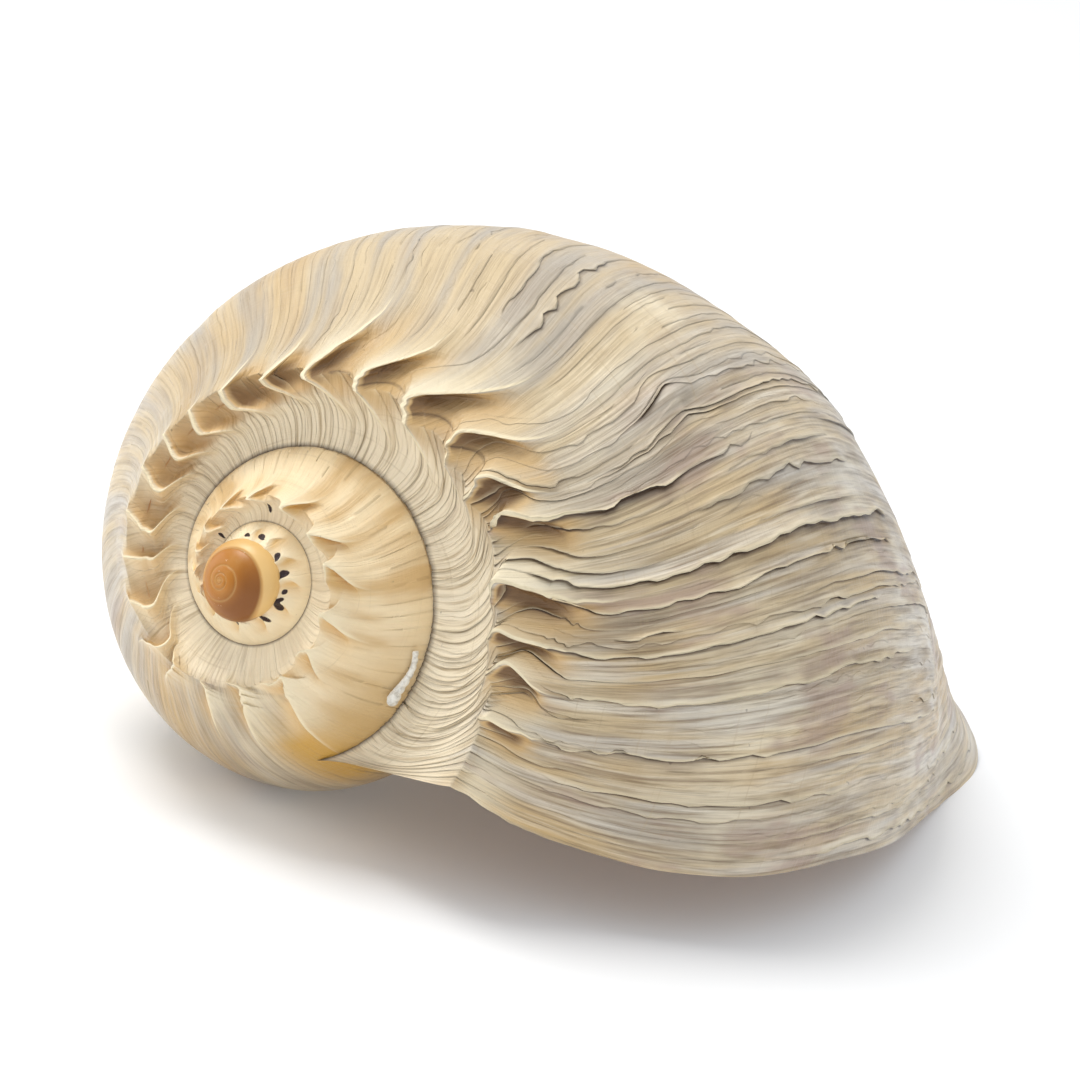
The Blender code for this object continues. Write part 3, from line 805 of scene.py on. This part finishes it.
def new_material(name: str, rough: float, coat: float = 0.0) -> tuple[Nodes, bpy.types.Node]:
    """A material with its shader's plain values set on the shader itself.

    Args:
        name: name of the finish.
        rough: roughness where no pattern drives it.
        coat: weight of the clear gloss layer.
    Returns:
        The node helper and the shader.
    """
    material = bpy.data.materials.new(name)
    material.use_nodes = True
    shader = material.node_tree.nodes["Principled BSDF"]
    shader.inputs["Roughness"].default_value = rough
    shader.inputs["Coat Weight"].default_value = coat
    shader.inputs["Coat Roughness"].default_value = 0.3
    shader.inputs["Specular IOR Level"].default_value = 0.4
    return Nodes(material), shader


@dataclass(frozen=True)
class ShellFinish:
    """Outer side: tan and grey growth bands, cream ledge edges, painted shade under the ledges, brown hollows
    with painted shade behind their rims and along their seams.
    """

    name: str = "shell_outer"

    def growth_colour(self, nodes: Nodes, patch: Socket) -> Socket:
        """Bands of the last whorl and the ramp, with the streaks of its late part."""
        late = nodes.attribute("late")
        bands = nodes.streaks(0.9, 0.09, 1.6, 4.0, 0.55)
        colour = nodes.mix(nodes.range(bands, 0.40, 0.64), Tint.BEIGE, Tint.GREY)
        broad = nodes.streaks(0.28, 0.12, 1.3, 2.0)
        colour = nodes.veil(colour, Tint.GOLD, nodes.range(broad, 0.48, 0.70), 0.75)
        colour = nodes.veil(colour, Tint.CREAM, nodes.range(patch, 0.50, 0.74), 0.5)
        ramp_line = nodes.range(nodes.streaks(5.0, 0.35, 1.6, 3.0, 0.6), 0.46, 0.74, 0.0, 0.85)
        young = nodes.range(nodes.attribute("old"), 0.0, 1.0, 1.0, 0.4)
        ramp_share = nodes.math("MULTIPLY", ramp_line, young)
        colour = nodes.veil(colour, nodes.mix(ramp_share, Tint.RAMP, Tint.RAMP_LINE), nodes.attribute("ramp"))
        stripe = nodes.streaks(3.1, 0.16, 1.5, 3.0, 0.65)
        colour = nodes.veil(colour, Tint.GLINT, late, nodes.range(stripe, 0.50, 0.68, 0.0, 0.40))
        colour = nodes.veil(colour, Tint.LINE, late, nodes.range(stripe, 0.32, 0.46, 0.50, 0.0))
        grey = nodes.streaks(1.7, 0.10, 1.3, 2.0, 0.6)
        colour = nodes.veil(colour, Tint.WHITE, late, nodes.range(grey, 0.50, 0.62, 0.0, 0.38))
        rose = nodes.streaks(0.7, 0.22, 1.5, 3.0, 0.6)
        return nodes.veil(colour, Tint.ROSE, late, nodes.range(rose, 0.52, 0.66, 0.0, 0.70))

    def old_colour(self, nodes: Nodes, patch: Socket) -> Socket:
        """Worn cream and tan of the older whorls."""
        old = nodes.mix(nodes.range(nodes.streaks(1.4, 0.3, 1.2), 0.40, 0.66), Tint.OLD, Tint.OLD_TAN)
        return nodes.veil(old, Tint.OLD_PALE, nodes.range(patch, 0.48, 0.7), 0.6)

    def build(self) -> Material:
        """Builds the material."""
        nodes, shader = new_material(self.name, 0.42, 0.12)
        place = nodes.place()
        patch = nodes.noise(place, 26.0, 4.0, 0.6)
        fine = nodes.streaks(7.0, 0.22, 1.8, 4.0, 0.6)
        hair = nodes.streaks(0.16, 6.0, 1.6, 3.0, 0.6)
        old, ramp, hollow = (nodes.attribute(key) for key in ("old", "ramp", "hollow"))
        colour = self.growth_colour(nodes, patch)
        off_ramp = nodes.range(ramp, 0.0, 1.0, 1.0, 0.35)
        colour = nodes.veil(colour, self.old_colour(nodes, patch), old, off_ramp)

        calm = nodes.range(nodes.math("MAXIMUM", old, ramp), 0.0, 1.0, 1.0, 0.22)
        line = nodes.math("MULTIPLY", nodes.range(fine, 0.42, 0.74, 0.0, 0.75), calm)
        late = nodes.range(nodes.attribute("late"), 0.0, 1.0, 0.45, 1.0)
        colour = nodes.veil(colour, Tint.LINE, line, late)
        colour = nodes.veil(colour, Tint.RAMP_LINE, nodes.range(hair, 0.58, 0.74, 0.0, 0.30))
        for key, tint in (("tan", Tint.GOLD), ("callus", Tint.CALLUS), ("ring", Tint.RING)):
            colour = nodes.veil(colour, tint, nodes.attribute(key))
        colour = nodes.veil(colour, Tint.CREAM, nodes.attribute("back"), 0.90)
        colour = nodes.veil(colour, Tint.HOLLOW, nodes.range(hollow, 0.05, 0.6, 0.0, 0.7))
        # Painted shade deep in the hollow, right behind the rim.
        colour = nodes.veil(colour, Tint.HOLLOW_SHADE, nodes.range(hollow, 0.5, 0.95, 0.0, 0.85))
        colour = nodes.veil(colour, Tint.YELLOW, nodes.attribute("yellow"), 0.9)
        colour = nodes.veil(colour, Tint.EDGE, nodes.attribute("edge"))
        uneven = nodes.range(patch, 0.30, 0.55, 0.55, 1.0)
        # Painted shade under each ledge, patchy, and the dark suture line.
        colour = nodes.veil(colour, Tint.SHADE_AND_SPECK, nodes.attribute("groove_and_shade"), uneven)
        # Painted shade along the seam in the hollows.
        colour = nodes.veil(colour, Tint.SHADE_AND_SPECK, nodes.attribute("slit_shade"))
        blot = nodes.math("MULTIPLY", nodes.attribute("spot"), nodes.noise(place, 700.0, 3.0, 0.7))
        colour = nodes.veil(colour, Tint.SPOT, nodes.range(blot, 0.18, 0.36))
        speck = nodes.noise(place, 420.0, 2.0, 0.6)
        colour = nodes.veil(colour, Tint.SHADE_AND_SPECK, nodes.range(speck, 0.74, 0.80, 0.0, 0.45))
        nodes.link(colour, shader.inputs["Base Color"])

        gloss = nodes.range(nodes.streaks(2.2, 0.4, 2.0), 0.35, 0.7, 0.30, 0.50)
        gloss = nodes.math("ADD", gloss, nodes.math("MULTIPLY", ramp, 0.16))
        nodes.link(gloss, shader.inputs["Roughness"])
        normal = nodes.bump(fine, 0.6, 0.0008)
        normal = nodes.bump(hair, 0.3, 0.0005, normal)
        normal = nodes.bump(nodes.noise(place, 900.0, 3.0), 0.12, 0.0002, normal)
        nodes.link(normal, shader.inputs["Normal"])
        return nodes.material


@dataclass(frozen=True)
class GlazeFinish:
    """Inside, columella and lip: smooth apricot glaze, paler towards the edge."""

    name: str = "shell_inside"

    def build(self) -> Material:
        """Builds the material."""
        nodes, shader = new_material(self.name, 0.26, 0.3)
        bands = nodes.streaks(1.2, 0.1, 1.2)
        patch = nodes.noise(nodes.place(), 22.0, 3.0)
        colour = nodes.mix(nodes.range(bands, 0.36, 0.68), Tint.INSIDE, Tint.INSIDE_PALE)
        colour = nodes.veil(colour, Tint.GOLD, nodes.range(patch, 0.45, 0.75, 0.0, 0.5))
        stripe = nodes.streaks(4.0, 0.16, 1.6, 4.0, 0.65)
        outer = nodes.mix(nodes.range(bands, 0.40, 0.62), Tint.BEIGE, Tint.GREY)
        outer = nodes.veil(outer, Tint.GLINT, nodes.range(stripe, 0.50, 0.70, 0.0, 0.5))
        outer = nodes.veil(outer, Tint.LINE, nodes.range(stripe, 0.30, 0.46, 0.6, 0.0))
        colour = nodes.veil(colour, outer, nodes.attribute("outer"))
        colour = nodes.veil(colour, Tint.EDGE, nodes.attribute("edge"))
        nodes.link(colour, shader.inputs["Base Color"])
        nodes.link(nodes.range(patch, 0.3, 0.7, 0.20, 0.34), shader.inputs["Roughness"])
        nodes.link(nodes.bump(nodes.streaks(5.0, 0.2, 1.5), 0.12, 0.0004), shader.inputs["Normal"])
        return nodes.material


@dataclass(frozen=True)
class DomeFinish:
    """First whorls: orange-brown, with a paler last stretch and fine scratches."""

    name: str = "first_whorls"

    def build(self) -> Material:
        """Builds the material."""
        nodes, shader = new_material(self.name, 0.36, 0.1)
        place = nodes.place()
        patch = nodes.noise(place, 160.0, 4.0, 0.6)
        colour = nodes.mix(nodes.range(patch, 0.35, 0.75, 0.0, 0.35), Tint.DOME, Tint.GOLD)
        colour = nodes.veil(colour, Tint.DOME_DARK, nodes.attribute("shade"))
        colour = nodes.veil(colour, Tint.DOME_PALE, nodes.attribute("pale"))
        colour = nodes.veil(colour, Tint.HOLLOW, nodes.attribute("groove_and_shade"), 0.5)
        chip = nodes.noise(place, 700.0, 3.0, 0.7)
        colour = nodes.veil(colour, Tint.OLD_PALE, nodes.range(chip, 0.68, 0.76, 0.0, 0.6))
        nodes.link(colour, shader.inputs["Base Color"])
        nodes.link(nodes.range(patch, 0.3, 0.7, 0.28, 0.46), shader.inputs["Roughness"])
        nodes.link(nodes.bump(chip, 0.15, 0.0002), shader.inputs["Normal"])
        return nodes.material


@dataclass(frozen=True)
class TubeFinish:
    """Worm tube: chalky white with grey rings."""

    name: str = "worm_tube_lime"

    def build(self) -> Material:
        """Builds the material."""
        nodes, shader = new_material(self.name, 0.62)
        place = nodes.place()
        patch = nodes.noise(place, 900.0, 4.0, 0.6)
        colour = nodes.mix(nodes.range(patch, 0.42, 0.72), Tint.TUBE, Tint.TUBE_GREY)
        nodes.link(colour, shader.inputs["Base Color"])
        nodes.link(nodes.range(patch, 0.3, 0.7, 0.5, 0.7), shader.inputs["Roughness"])
        nodes.link(nodes.bump(patch, 0.3, 0.0002), shader.inputs["Normal"])
        return nodes.material


@dataclass(frozen=True)
class FloorFinish:
    """Plain pale floor."""

    name: str = "pale_floor"

    def build(self) -> Material:
        """Builds the material."""
        nodes, shader = new_material(self.name, 0.7)
        shader.inputs["Base Color"].default_value = (0.86, 0.865, 0.87, 1.0)
        shader.inputs["Emission Color"].default_value = (1.0, 0.96, 0.93, 1.0)
        shader.inputs["Emission Strength"].default_value = 0.10
        return nodes.material


def dress(obj: Object, finish: Material, node: str) -> None:
    """Gives a piece its finish and body, and the node that it stands for, whose slot it takes."""
    obj.data.materials.append(finish)
    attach(obj, "root")
    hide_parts(node)
    LOG.info("%s: %d faces", obj.name, len(obj.data.polygons))


@dataclass
class OuterShell:
    """Outer side of the last turn and a half, the older whorls and the columella side."""

    grid: GrowthGrid
    pose: RestPose
    foot_columns: int = 26
    pillar_columns: int = 14
    pillar: tuple[float, float] = (7.0, 0.015)
    pillar_tip: float = -224.0
    floor_gap: float = 8.0
    fold_height: float = 2.6
    fold_pitch: float = 17.0
    wall: float = 3.0
    inside_rows: int = 260
    shown_share: float = 0.345
    open_turn: float = -0.93
    spans: tuple[tuple[str, float, float], ...] = (
        ("spire", -9.0, -0.885), ("whorl_back", -0.885, -0.6), ("whorl_top", -0.6, -0.34),
        ("whorl_side", -0.34, -0.14), ("whorl_lip", -0.14, 9.0))

    def foot(self, data: dict[str, Array]) -> tuple[Array, Array]:
        """Foot of the whorl: from the anterior end in to the columella and along it to its tip.

        The radius shrinks to the columella's as f^0.8 while the height runs straight; along the
        columella three oblique folds stand out as sine waves of depth and turn.

        Args:
            data: the growth grid.
        Returns:
            Points and distances in mm, rows by foot columns.
        """
        sp = self.grid.spiral
        n = data["n"][:, -1]
        one = np.ones_like(n)
        rp, zp, turn = sp.whorl(n, one)
        z_next = sp.whorl(n + sp.lead, one)[1]
        zc = np.minimum(np.maximum(z_next + self.floor_gap, self.pillar_tip + 22), zp - 1)
        rc = self.pillar[0] - self.pillar[1] * zc
        ze = np.minimum(self.pillar_tip + 6, zp - 2)
        a = (np.arange(1, self.foot_columns + 1) / self.foot_columns)[None]
        b = (np.arange(1, self.pillar_columns + 1) / self.pillar_columns)[None]
        r1 = rp[:, None] + (rc - rp)[:, None] * a ** 0.8
        z1 = zp[:, None] + (zc - zp)[:, None] * a
        r2 = rc[:, None] * (1 - 0.35 * b)
        z2 = zc[:, None] + (ze - zc)[:, None] * b
        r = np.concatenate([r1, r2], axis=1)
        z = np.concatenate([z1, z2], axis=1)
        share = np.concatenate([a, 1 + b], axis=1)
        fade = ease(-n, 0.30, 0.55)[:, None] * ease(share, 0.35, 0.7)
        wave = np.clip(np.sin(TAU * (z / self.fold_pitch + 0.55 * turn[:, None])), 0, 1) ** 1.3
        r = r + self.fold_height * fade * wave
        tip = np.tile(np.array([[0.0, 0.0, self.pillar_tip]]), (len(n), 1))[:, None]
        points = np.concatenate([sp.point(r, z, turn[:, None] + 0 * r), tip], axis=1)
        whole = np.concatenate([data["points"][:, -1:], points], axis=1)
        step = np.linalg.norm(np.diff(whole, axis=1), axis=-1)
        return points, np.cumsum(step, axis=1) + data["s"][:, -1:]

    def build(self, outer: Material, glaze: Material) -> None:
        """Builds the outer pieces, the inside wall with the lip, and the columella side."""
        data = self.grid.build()
        rows, cols = data["n"].shape
        flat = {key: value.reshape(-1, 3) if value.ndim == 3 else value.reshape(-1)
                for key, value in self.masks(data).items()}
        world = self.pose.place(data["points"].reshape(-1, 3))
        faces = grid_faces(rows, cols, True).reshape(rows - 1, cols - 1, 4)
        n_row = data["n_mid"]
        # Older whorls keep only what shows outside the next whorl.
        shown = (data["u"][:-1, :-1] < self.shown_share) | (n_row[:-1, None] > self.open_turn)
        for name, first, last in self.spans:
            pick = (n_row[:-1] >= first) & (n_row[:-1] < last)
            dress(make_piece(name, world, faces[pick][shown[pick]], flat), outer, "shell")
        self.columella(data, int(np.searchsorted(n_row, -1.30)), glaze)
        self.inside(data, glaze)

    def masks(self, data: dict[str, Array]) -> dict[str, Array]:
        """Point attributes that the finish reads."""
        n, u, s = data["n"], data["u"], data["s"]
        tan = 0.85 * ease(n, -1.08, -0.94) * (1 - ease(n, -0.88, -0.84)) * ease(u, 0.10, 0.24)
        callus = np.exp(-((n + 0.885) / 0.032) ** 2) * ease(s, 13, 18) * (1 - ease(s, 30, 40))
        late = 0.88 * ease(n, -0.24, -0.12) + 0.35 * ease(-n, 0.46, 0.60)
        late = 0.12 + late * (1 - 0.85 * data["ramp"]) * (n > -0.9)
        yellow = data["back"] * ((n > -0.80) & (n < -0.42)) * 0.45
        yellow = np.maximum(data["hollow"] * (n < -0.88) * 0.85, yellow)
        # Hollows of the spines near the lip get more painted shade, those from -0.88 to -0.42 less.
        hollow = data["hollow"] * (n > -0.88) * (1 - 0.22 * (n < -0.42) + 0.3 * (n > -0.18))
        ring = 0.70 * (1 - data["hollow"]) * (1 - ease(n, -1.75, -1.60))
        same = {key: data[key] for key in ("flow", "edge", "back", "slit_shade", "ramp", "spot")}
        return same | {"groove_and_shade": np.clip(data["groove_and_shade"], 0, 1), "hollow": hollow,
                       "old": data["old"] * (u < 0.4), "yellow": yellow, "late": late,
                       "ring": ring, "tan": tan, "callus": callus}

    def columella(self, data: dict[str, Array], start_row: int, glaze: Material) -> None:
        """Covered flank inside the aperture, the foot and the folded columella."""
        foot, along = self.foot(data)
        take = np.nonzero(data["u"][0] > 0.30)[0]
        low = data["points"][:, take]
        points = np.concatenate([low, foot], axis=1)[start_row:]
        s = np.concatenate([data["s"][:, take], along], axis=1)[start_row:]
        rows, cols = s.shape
        n = data["n"][start_row:, -1:]
        sp = self.grid.spiral
        flow = pattern(sp.arc(sp.growth_radius[0] * (n + 0 * s)), s, 0 * s)
        faces = grid_faces(rows, cols, True).reshape(rows - 1, cols - 1, 4)
        # The exposed flank of the last turn belongs to the outer pieces.
        own = (np.arange(cols - 1) >= len(take) - 1)[None] | (n[:-1] < self.open_turn)
        share = np.concatenate([np.zeros(len(take)), np.linspace(0, 1.6, along.shape[1])])[None]
        outer = (1 - 0.85 * ease(share, 0.60, 1.10)) * ease(n, -1.0, -0.86)
        masks = {"flow": flow.reshape(-1, 3), "edge": np.zeros(s.size), "outer": outer.reshape(-1)}
        world = self.pose.place(points.reshape(-1, 3))
        dress(make_piece("columella", world, faces[own], masks), glaze, "shell")

    def inside(self, data: dict[str, Array], glaze: Material) -> None:
        """Inside wall of the last turn, closed over the lip's edge and at its blind end.

        The wall follows the flank at a fixed depth below it, with its edge rounded in three steps
        at the lip.
        """
        sp = self.grid.spiral
        keep = slice(None, None, 2)
        f, u = self.grid.f[keep], self.grid.u[keep]
        n = -0.995 * np.linspace(0, 1, self.inside_rows) ** 1.15
        lip = data["n"][-1][keep]
        depth = self.wall * ease(-n, -0.002, 0.02)
        depth[0] = 0.0
        depth = depth + 0.4 * (n < 0)
        nn = n[:, None] + (lip[None] * np.exp(n[:, None] / 0.02)) + 0 * u[None]
        fr, fz, ft = sp.whorl(nn, 0 * nn + u[None])
        nr, nz = sp.normal(nn, 0 * nn + u[None])
        r = fr - depth[:, None] * nr
        z = fz - depth[:, None] * nz
        # Under the ramp the wall follows the ramp, lowered at the crown and moved on past the suture.
        before = sp.behind(nn)
        seam = sp.whorl(before, sp.suture_share(before))
        past = sp.whorl(before, sp.suture_share(before) + 0.03 * ease(-nn, 0.0, 0.02))
        cr, cz = sp.normal(nn, 0 * nn)
        rr, rz, rt = sp.ramp(nn, f[None] + 0 * nn)
        rr = rr + (1 - f) * (past[0] - seam[0]) - f * depth[:, None] * cr * 0.8
        rz = rz + (1 - f) * (past[1] - seam[1]) - f * depth[:, None] * (np.abs(cz) + 0.4)
        rz = rz - 4 * f * (1 - f) * 0.6 * depth[:, None]
        rt = rt + (1 - f) * (past[2] - seam[2])
        flank = (u > 0)[None]
        main = sp.point(np.where(flank, r, rr), np.where(flank, z, rz), np.where(flank, ft, rt))
        main[0] = data["points"][-1][keep]
        foot = self.inner_foot(main, nn[:, -1])
        points = np.concatenate([main, foot], axis=1)
        cols = points.shape[1]
        closing = np.tile(points[-1].mean(axis=0), (1, cols, 1))
        points = np.concatenate([points, closing], axis=0)
        edge = np.exp(-np.concatenate([-n, [1.0]])[:, None] * 90) + np.zeros(points.shape[:2])
        nfull = np.concatenate([n, [-1.0]])[:, None] + 0 * edge
        step = np.linalg.norm(np.diff(points[0], axis=0), axis=1)
        across = np.concatenate([[0], np.cumsum(step)])[None] + 0 * edge
        flow = pattern(sp.arc(nfull), across, 0 * edge)
        masks = {"flow": flow.reshape(-1, 3), "edge": edge.reshape(-1), "outer": np.zeros(edge.size)}
        world = self.pose.place(points.reshape(-1, 3))
        faces = grid_faces(self.inside_rows + 1, cols, True)
        dress(make_piece("inside_wall", world, faces, masks), glaze, "shell")

    def inner_foot(self, main: Array, n: Array) -> Array:
        """Floor of the cavity, from the inner side of the anterior end in to the columella."""
        sp = self.grid.spiral
        count = self.foot_columns // 2
        start = main[:, -1]
        one = np.ones_like(n)
        z_in = sp.whorl(n, one)[1]
        before = n - sp.lead
        zp = sp.whorl(before, one)[1]
        zc = np.minimum(np.maximum(z_in + self.floor_gap, self.pillar_tip + 22), zp - 1)
        rc = self.pillar[0] - self.pillar[1] * zc - 1.0
        turn = sp.whorl(n, one)[2]
        goal = sp.point(rc, zc, turn)
        a = (np.arange(1, count + 1) / count)[None, :, None]
        return start[:, None] * (1 - a) + goal[:, None] * a


@dataclass
class FirstWhorls:
    """Dome of the first whorls, with its fine spiral groove."""

    pose: RestPose
    radius: float = 7.69
    height: float = 5.2
    level: float = -2.0
    around: int = 160
    up: int = 90
    nucleus: tuple[float, float] = (0.278, -2.065)
    shift: tuple[float, float, float] = (1.956, -1.441, 0.0)
    growth: float = 0.78
    start: float = 1.97
    right: tuple[float, float, float] = (0.503, 0.864, 0.0)
    above: tuple[float, float, float] = (0.874, -0.486, 0.0)

    def build(self, finish: Material) -> None:
        """Builds the dome.

        A cap of an ellipsoid on a grid of direction and polar angle. Around the nucleus the
        distance d and turn a give a groove of depth exp(-(x / w)^2), with x the distance to the
        spiral d = exp(growth a + 0.12 cos a + start).
        """
        polar = np.linspace(0, 1, self.up)[:, None] ** 0.9 * (math.pi * 0.64)
        a = (np.arange(self.around) / self.around * TAU)[None]
        unit = self.direction(polar, a)
        axis = self.direction(*self.nucleus)
        radial = np.array([self.radius, self.radius, self.height])
        offset = (unit - axis) * radial
        x = offset @ np.array(self.right)
        y = offset @ np.array(self.above)
        away = np.maximum(np.hypot(x, y), 0.12)
        turn = np.arctan2(y, x) / TAU
        phase = (np.log(away) - 0.12 * np.cos(TAU * turn) - self.start) / self.growth - turn
        near = np.abs(phase - np.round(phase)) * self.growth * away
        groove = np.exp(-(near / (0.09 + 0.014 * away)) ** 2) * (away < 9.5)
        swell = np.sin(np.pi * (phase - np.floor(phase))) * 0.03 * np.minimum(away, 7)
        points = unit * radial + np.array([0, 0, self.level]) + np.array(self.shift)
        points = points + unit * (swell - 0.16 * groove)[..., None]
        pale = ease(phase, 0.0, 0.06) * (0.35 + 0.65 * ease(turn, -0.36, -0.12))
        shade = ease(np.cos(TAU * (turn - 0.12)), -0.2, 1.0) * ease(away, 1.5, 6.0) * (phase < 0)
        shade = np.maximum(shade, 0.9 * np.exp(-((phase + 0.012) / 0.022) ** 2) * (away > 3))
        faces = grid_faces(self.up, self.around, False, True)
        masks = {"groove_and_shade": groove.reshape(-1), "pale": pale.reshape(-1), "shade": shade.reshape(-1)}
        world = self.pose.place(points.reshape(-1, 3))
        dress(make_piece("first_whorls", world, faces, masks), finish, "shell")

    def direction(self, polar: Array | float, heading: Array | float) -> Array:
        """Unit vector at an angle off the coiling axis and a heading round it."""
        return np.stack([np.sin(polar) * np.cos(heading), np.sin(polar) * np.sin(heading),
                         np.cos(polar) + 0 * heading], axis=-1)


@dataclass
class WormTube:
    """White worm tube lying beside the suture, swollen at its lower end."""

    spiral: Spiral
    pose: RestPose
    turns: tuple[float, float] = (-1.026, -0.974)
    radius: float = 0.9
    steps: int = 90
    sides: int = 24

    def build(self, finish: Material) -> None:
        """Builds the tube: rings of slowly growing radius carried along a wavering path."""
        t = np.linspace(0, 1, self.steps)
        n = self.turns[0] + (self.turns[1] - self.turns[0]) * t
        u = self.spiral.suture[0] - 0.031 + 0.006 * np.sin(5 * t)
        radius = self.radius * (0.62 + 0.9 * t**3) * (1 + 0.07 * np.sin(46 * t))
        radius = radius * np.sqrt(np.clip(1 - ((t - 0.93) / 0.07) ** 2 * (t > 0.93), 0.0, 1))
        r, z, turn = self.spiral.whorl(n, u)
        nr, nz = self.spiral.normal(n, u)
        path = self.spiral.point(r + (radius + 0.5) * nr, z + (radius + 0.5) * nz, turn)
        ahead = np.gradient(path, axis=0)
        ahead /= np.linalg.norm(ahead, axis=1)[:, None]
        side = np.cross(ahead, np.array([0.0, 0.0, 1.0]))
        side /= np.linalg.norm(side, axis=1)[:, None]
        over = np.cross(side, ahead)
        a = (np.arange(self.sides) / self.sides * TAU)[None, :, None]
        round_it = np.cos(a) * side[:, None] + np.sin(a) * over[:, None]
        rings = path[:, None] + radius[:, None, None] * round_it
        first, last = (np.tile(end.mean(axis=1, keepdims=True), (1, self.sides, 1))
                       for end in (rings[:1], rings[-1:]))
        rings = np.concatenate([first, rings, last], axis=0)
        faces = grid_faces(self.steps + 2, self.sides, False, True)
        world = self.pose.place(rings.reshape(-1, 3))
        dress(make_piece("lime_tube", world, faces, {}), finish, "worm_tube")


@dataclass
class Studio:
    """Pale floor, soft lights and the camera at the viewing angle of the photograph."""

    pose: RestPose
    tilt: float = 0.5212
    azimuth: float = -0.98085
    distance: float = 1015.49
    aim: tuple[float, float] = (0.05542, 0.00497)
    roll: float = 1.64269
    focal: float = 5453.24
    frame: float = 1080.0
    floor_half: float = 9.0

    def camera(self) -> None:
        """Camera placed from its angle off the coiling axis, its azimuth, distance and roll."""
        sa, ca = math.sin(self.tilt), math.cos(self.tilt)
        sb, cb = math.sin(self.azimuth), math.cos(self.azimuth)
        pos = self.distance * np.array([sa * cb, -sa * sb, ca])
        ahead = -pos / np.linalg.norm(pos)
        right = np.cross(ahead, np.array([cb, -sb, 0.0]))
        right /= np.linalg.norm(right)
        up = np.cross(right, ahead)
        cr, sr = math.cos(self.roll), math.sin(self.roll)
        right, up = cr * right + sr * up, -sr * right + cr * up
        ahead = ahead + self.aim[0] * right + self.aim[1] * up
        ahead /= np.linalg.norm(ahead)
        right = right - right.dot(ahead) * ahead
        right /= np.linalg.norm(right)
        up = np.cross(right, ahead)
        turn = self.pose.rotation()
        where = self.pose.place(pos[None])[0]
        data = bpy.data.cameras.new("view")
        data.lens = self.focal * data.sensor_width / self.frame
        data.clip_end = 50.0
        bpy.context.scene.camera = self.stand("view", data, [turn @ right, turn @ up, -(turn @ ahead)], where)

    def stand(self, name: str, data: bpy.types.ID, axes: list[Array], where: Array) -> Object:
        """Puts a camera or lamp into the scene at a place, turned to its right, up and back axes."""
        obj = bpy.data.objects.new(name, data)
        matrix = Matrix(np.column_stack(axes).tolist()).to_4x4()
        matrix.translation = [float(value) for value in where]
        obj.matrix_world = matrix
        bpy.context.scene.collection.objects.link(obj)
        return obj

    def light(self, name: str, place: tuple[float, float, float], size: float, power: float,
              colour: tuple[float, float, float]) -> None:
        """A square soft light that faces the object."""
        data = bpy.data.lights.new(name, "AREA")
        data.size = size
        data.energy = power
        data.color = colour
        aim = np.array([0.0, 0.0, 0.05]) - np.array(place)
        aim /= np.linalg.norm(aim)
        side = np.cross(aim, [0.0, 0.0, 1.0]) + np.array([1e-6, 0, 0])
        side /= np.linalg.norm(side)
        self.stand(name, data, [side, np.cross(side, aim), -aim], np.array(place))

    def build(self, floor_finish: Material) -> None:
        """Builds the floor, the lights, the sky and the camera."""
        points = self.floor_half * np.array([[-1, -1, 0], [1, -1, 0], [1, 1, 0], [-1, 1, 0]])
        floor = make_piece("floor", points, np.array([[0, 1, 2, 3]]), {})
        floor.data.materials.append(floor_finish)
        self.camera()
        self.light("key", (-0.25, 0.45, 1.1), 0.6, 8.2, (1.0, 0.985, 0.96))
        self.light("fill", (-1.0, -0.9, 0.5), 1.4, 0.8, (0.95, 0.98, 1.0))
        self.light("side", (-0.5, 1.3, 0.16), 1.2, 6.0, (0.97, 0.99, 1.0))
        self.light("back", (0.9, 0.3, 0.8), 0.8, 1.0, (1.0, 0.99, 0.97))
        world = bpy.data.worlds.new("studio")
        world.use_nodes = True
        back = world.node_tree.nodes["Background"]
        back.inputs["Color"].default_value = (0.93, 0.96, 1.0, 1.0)
        back.inputs["Strength"].default_value = 0.80
        bpy.context.scene.world = world
        bpy.context.scene.view_settings.view_transform = "Standard"


def main() -> None:
    """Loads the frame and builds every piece."""
    logging.basicConfig(level=logging.INFO, format="%(name)s: %(message)s")
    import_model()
    spiral = Spiral()
    pose = RestPose()
    outer = ShellFinish().build()
    glaze = GlazeFinish().build()
    OuterShell(GrowthGrid(spiral, Spines()), pose).build(outer, glaze)
    FirstWhorls(pose).build(DomeFinish().build())
    WormTube(spiral, pose).build(TubeFinish().build())
    Studio(pose).build(FloorFinish().build())
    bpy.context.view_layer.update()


if __name__ == "__main__":
    main()
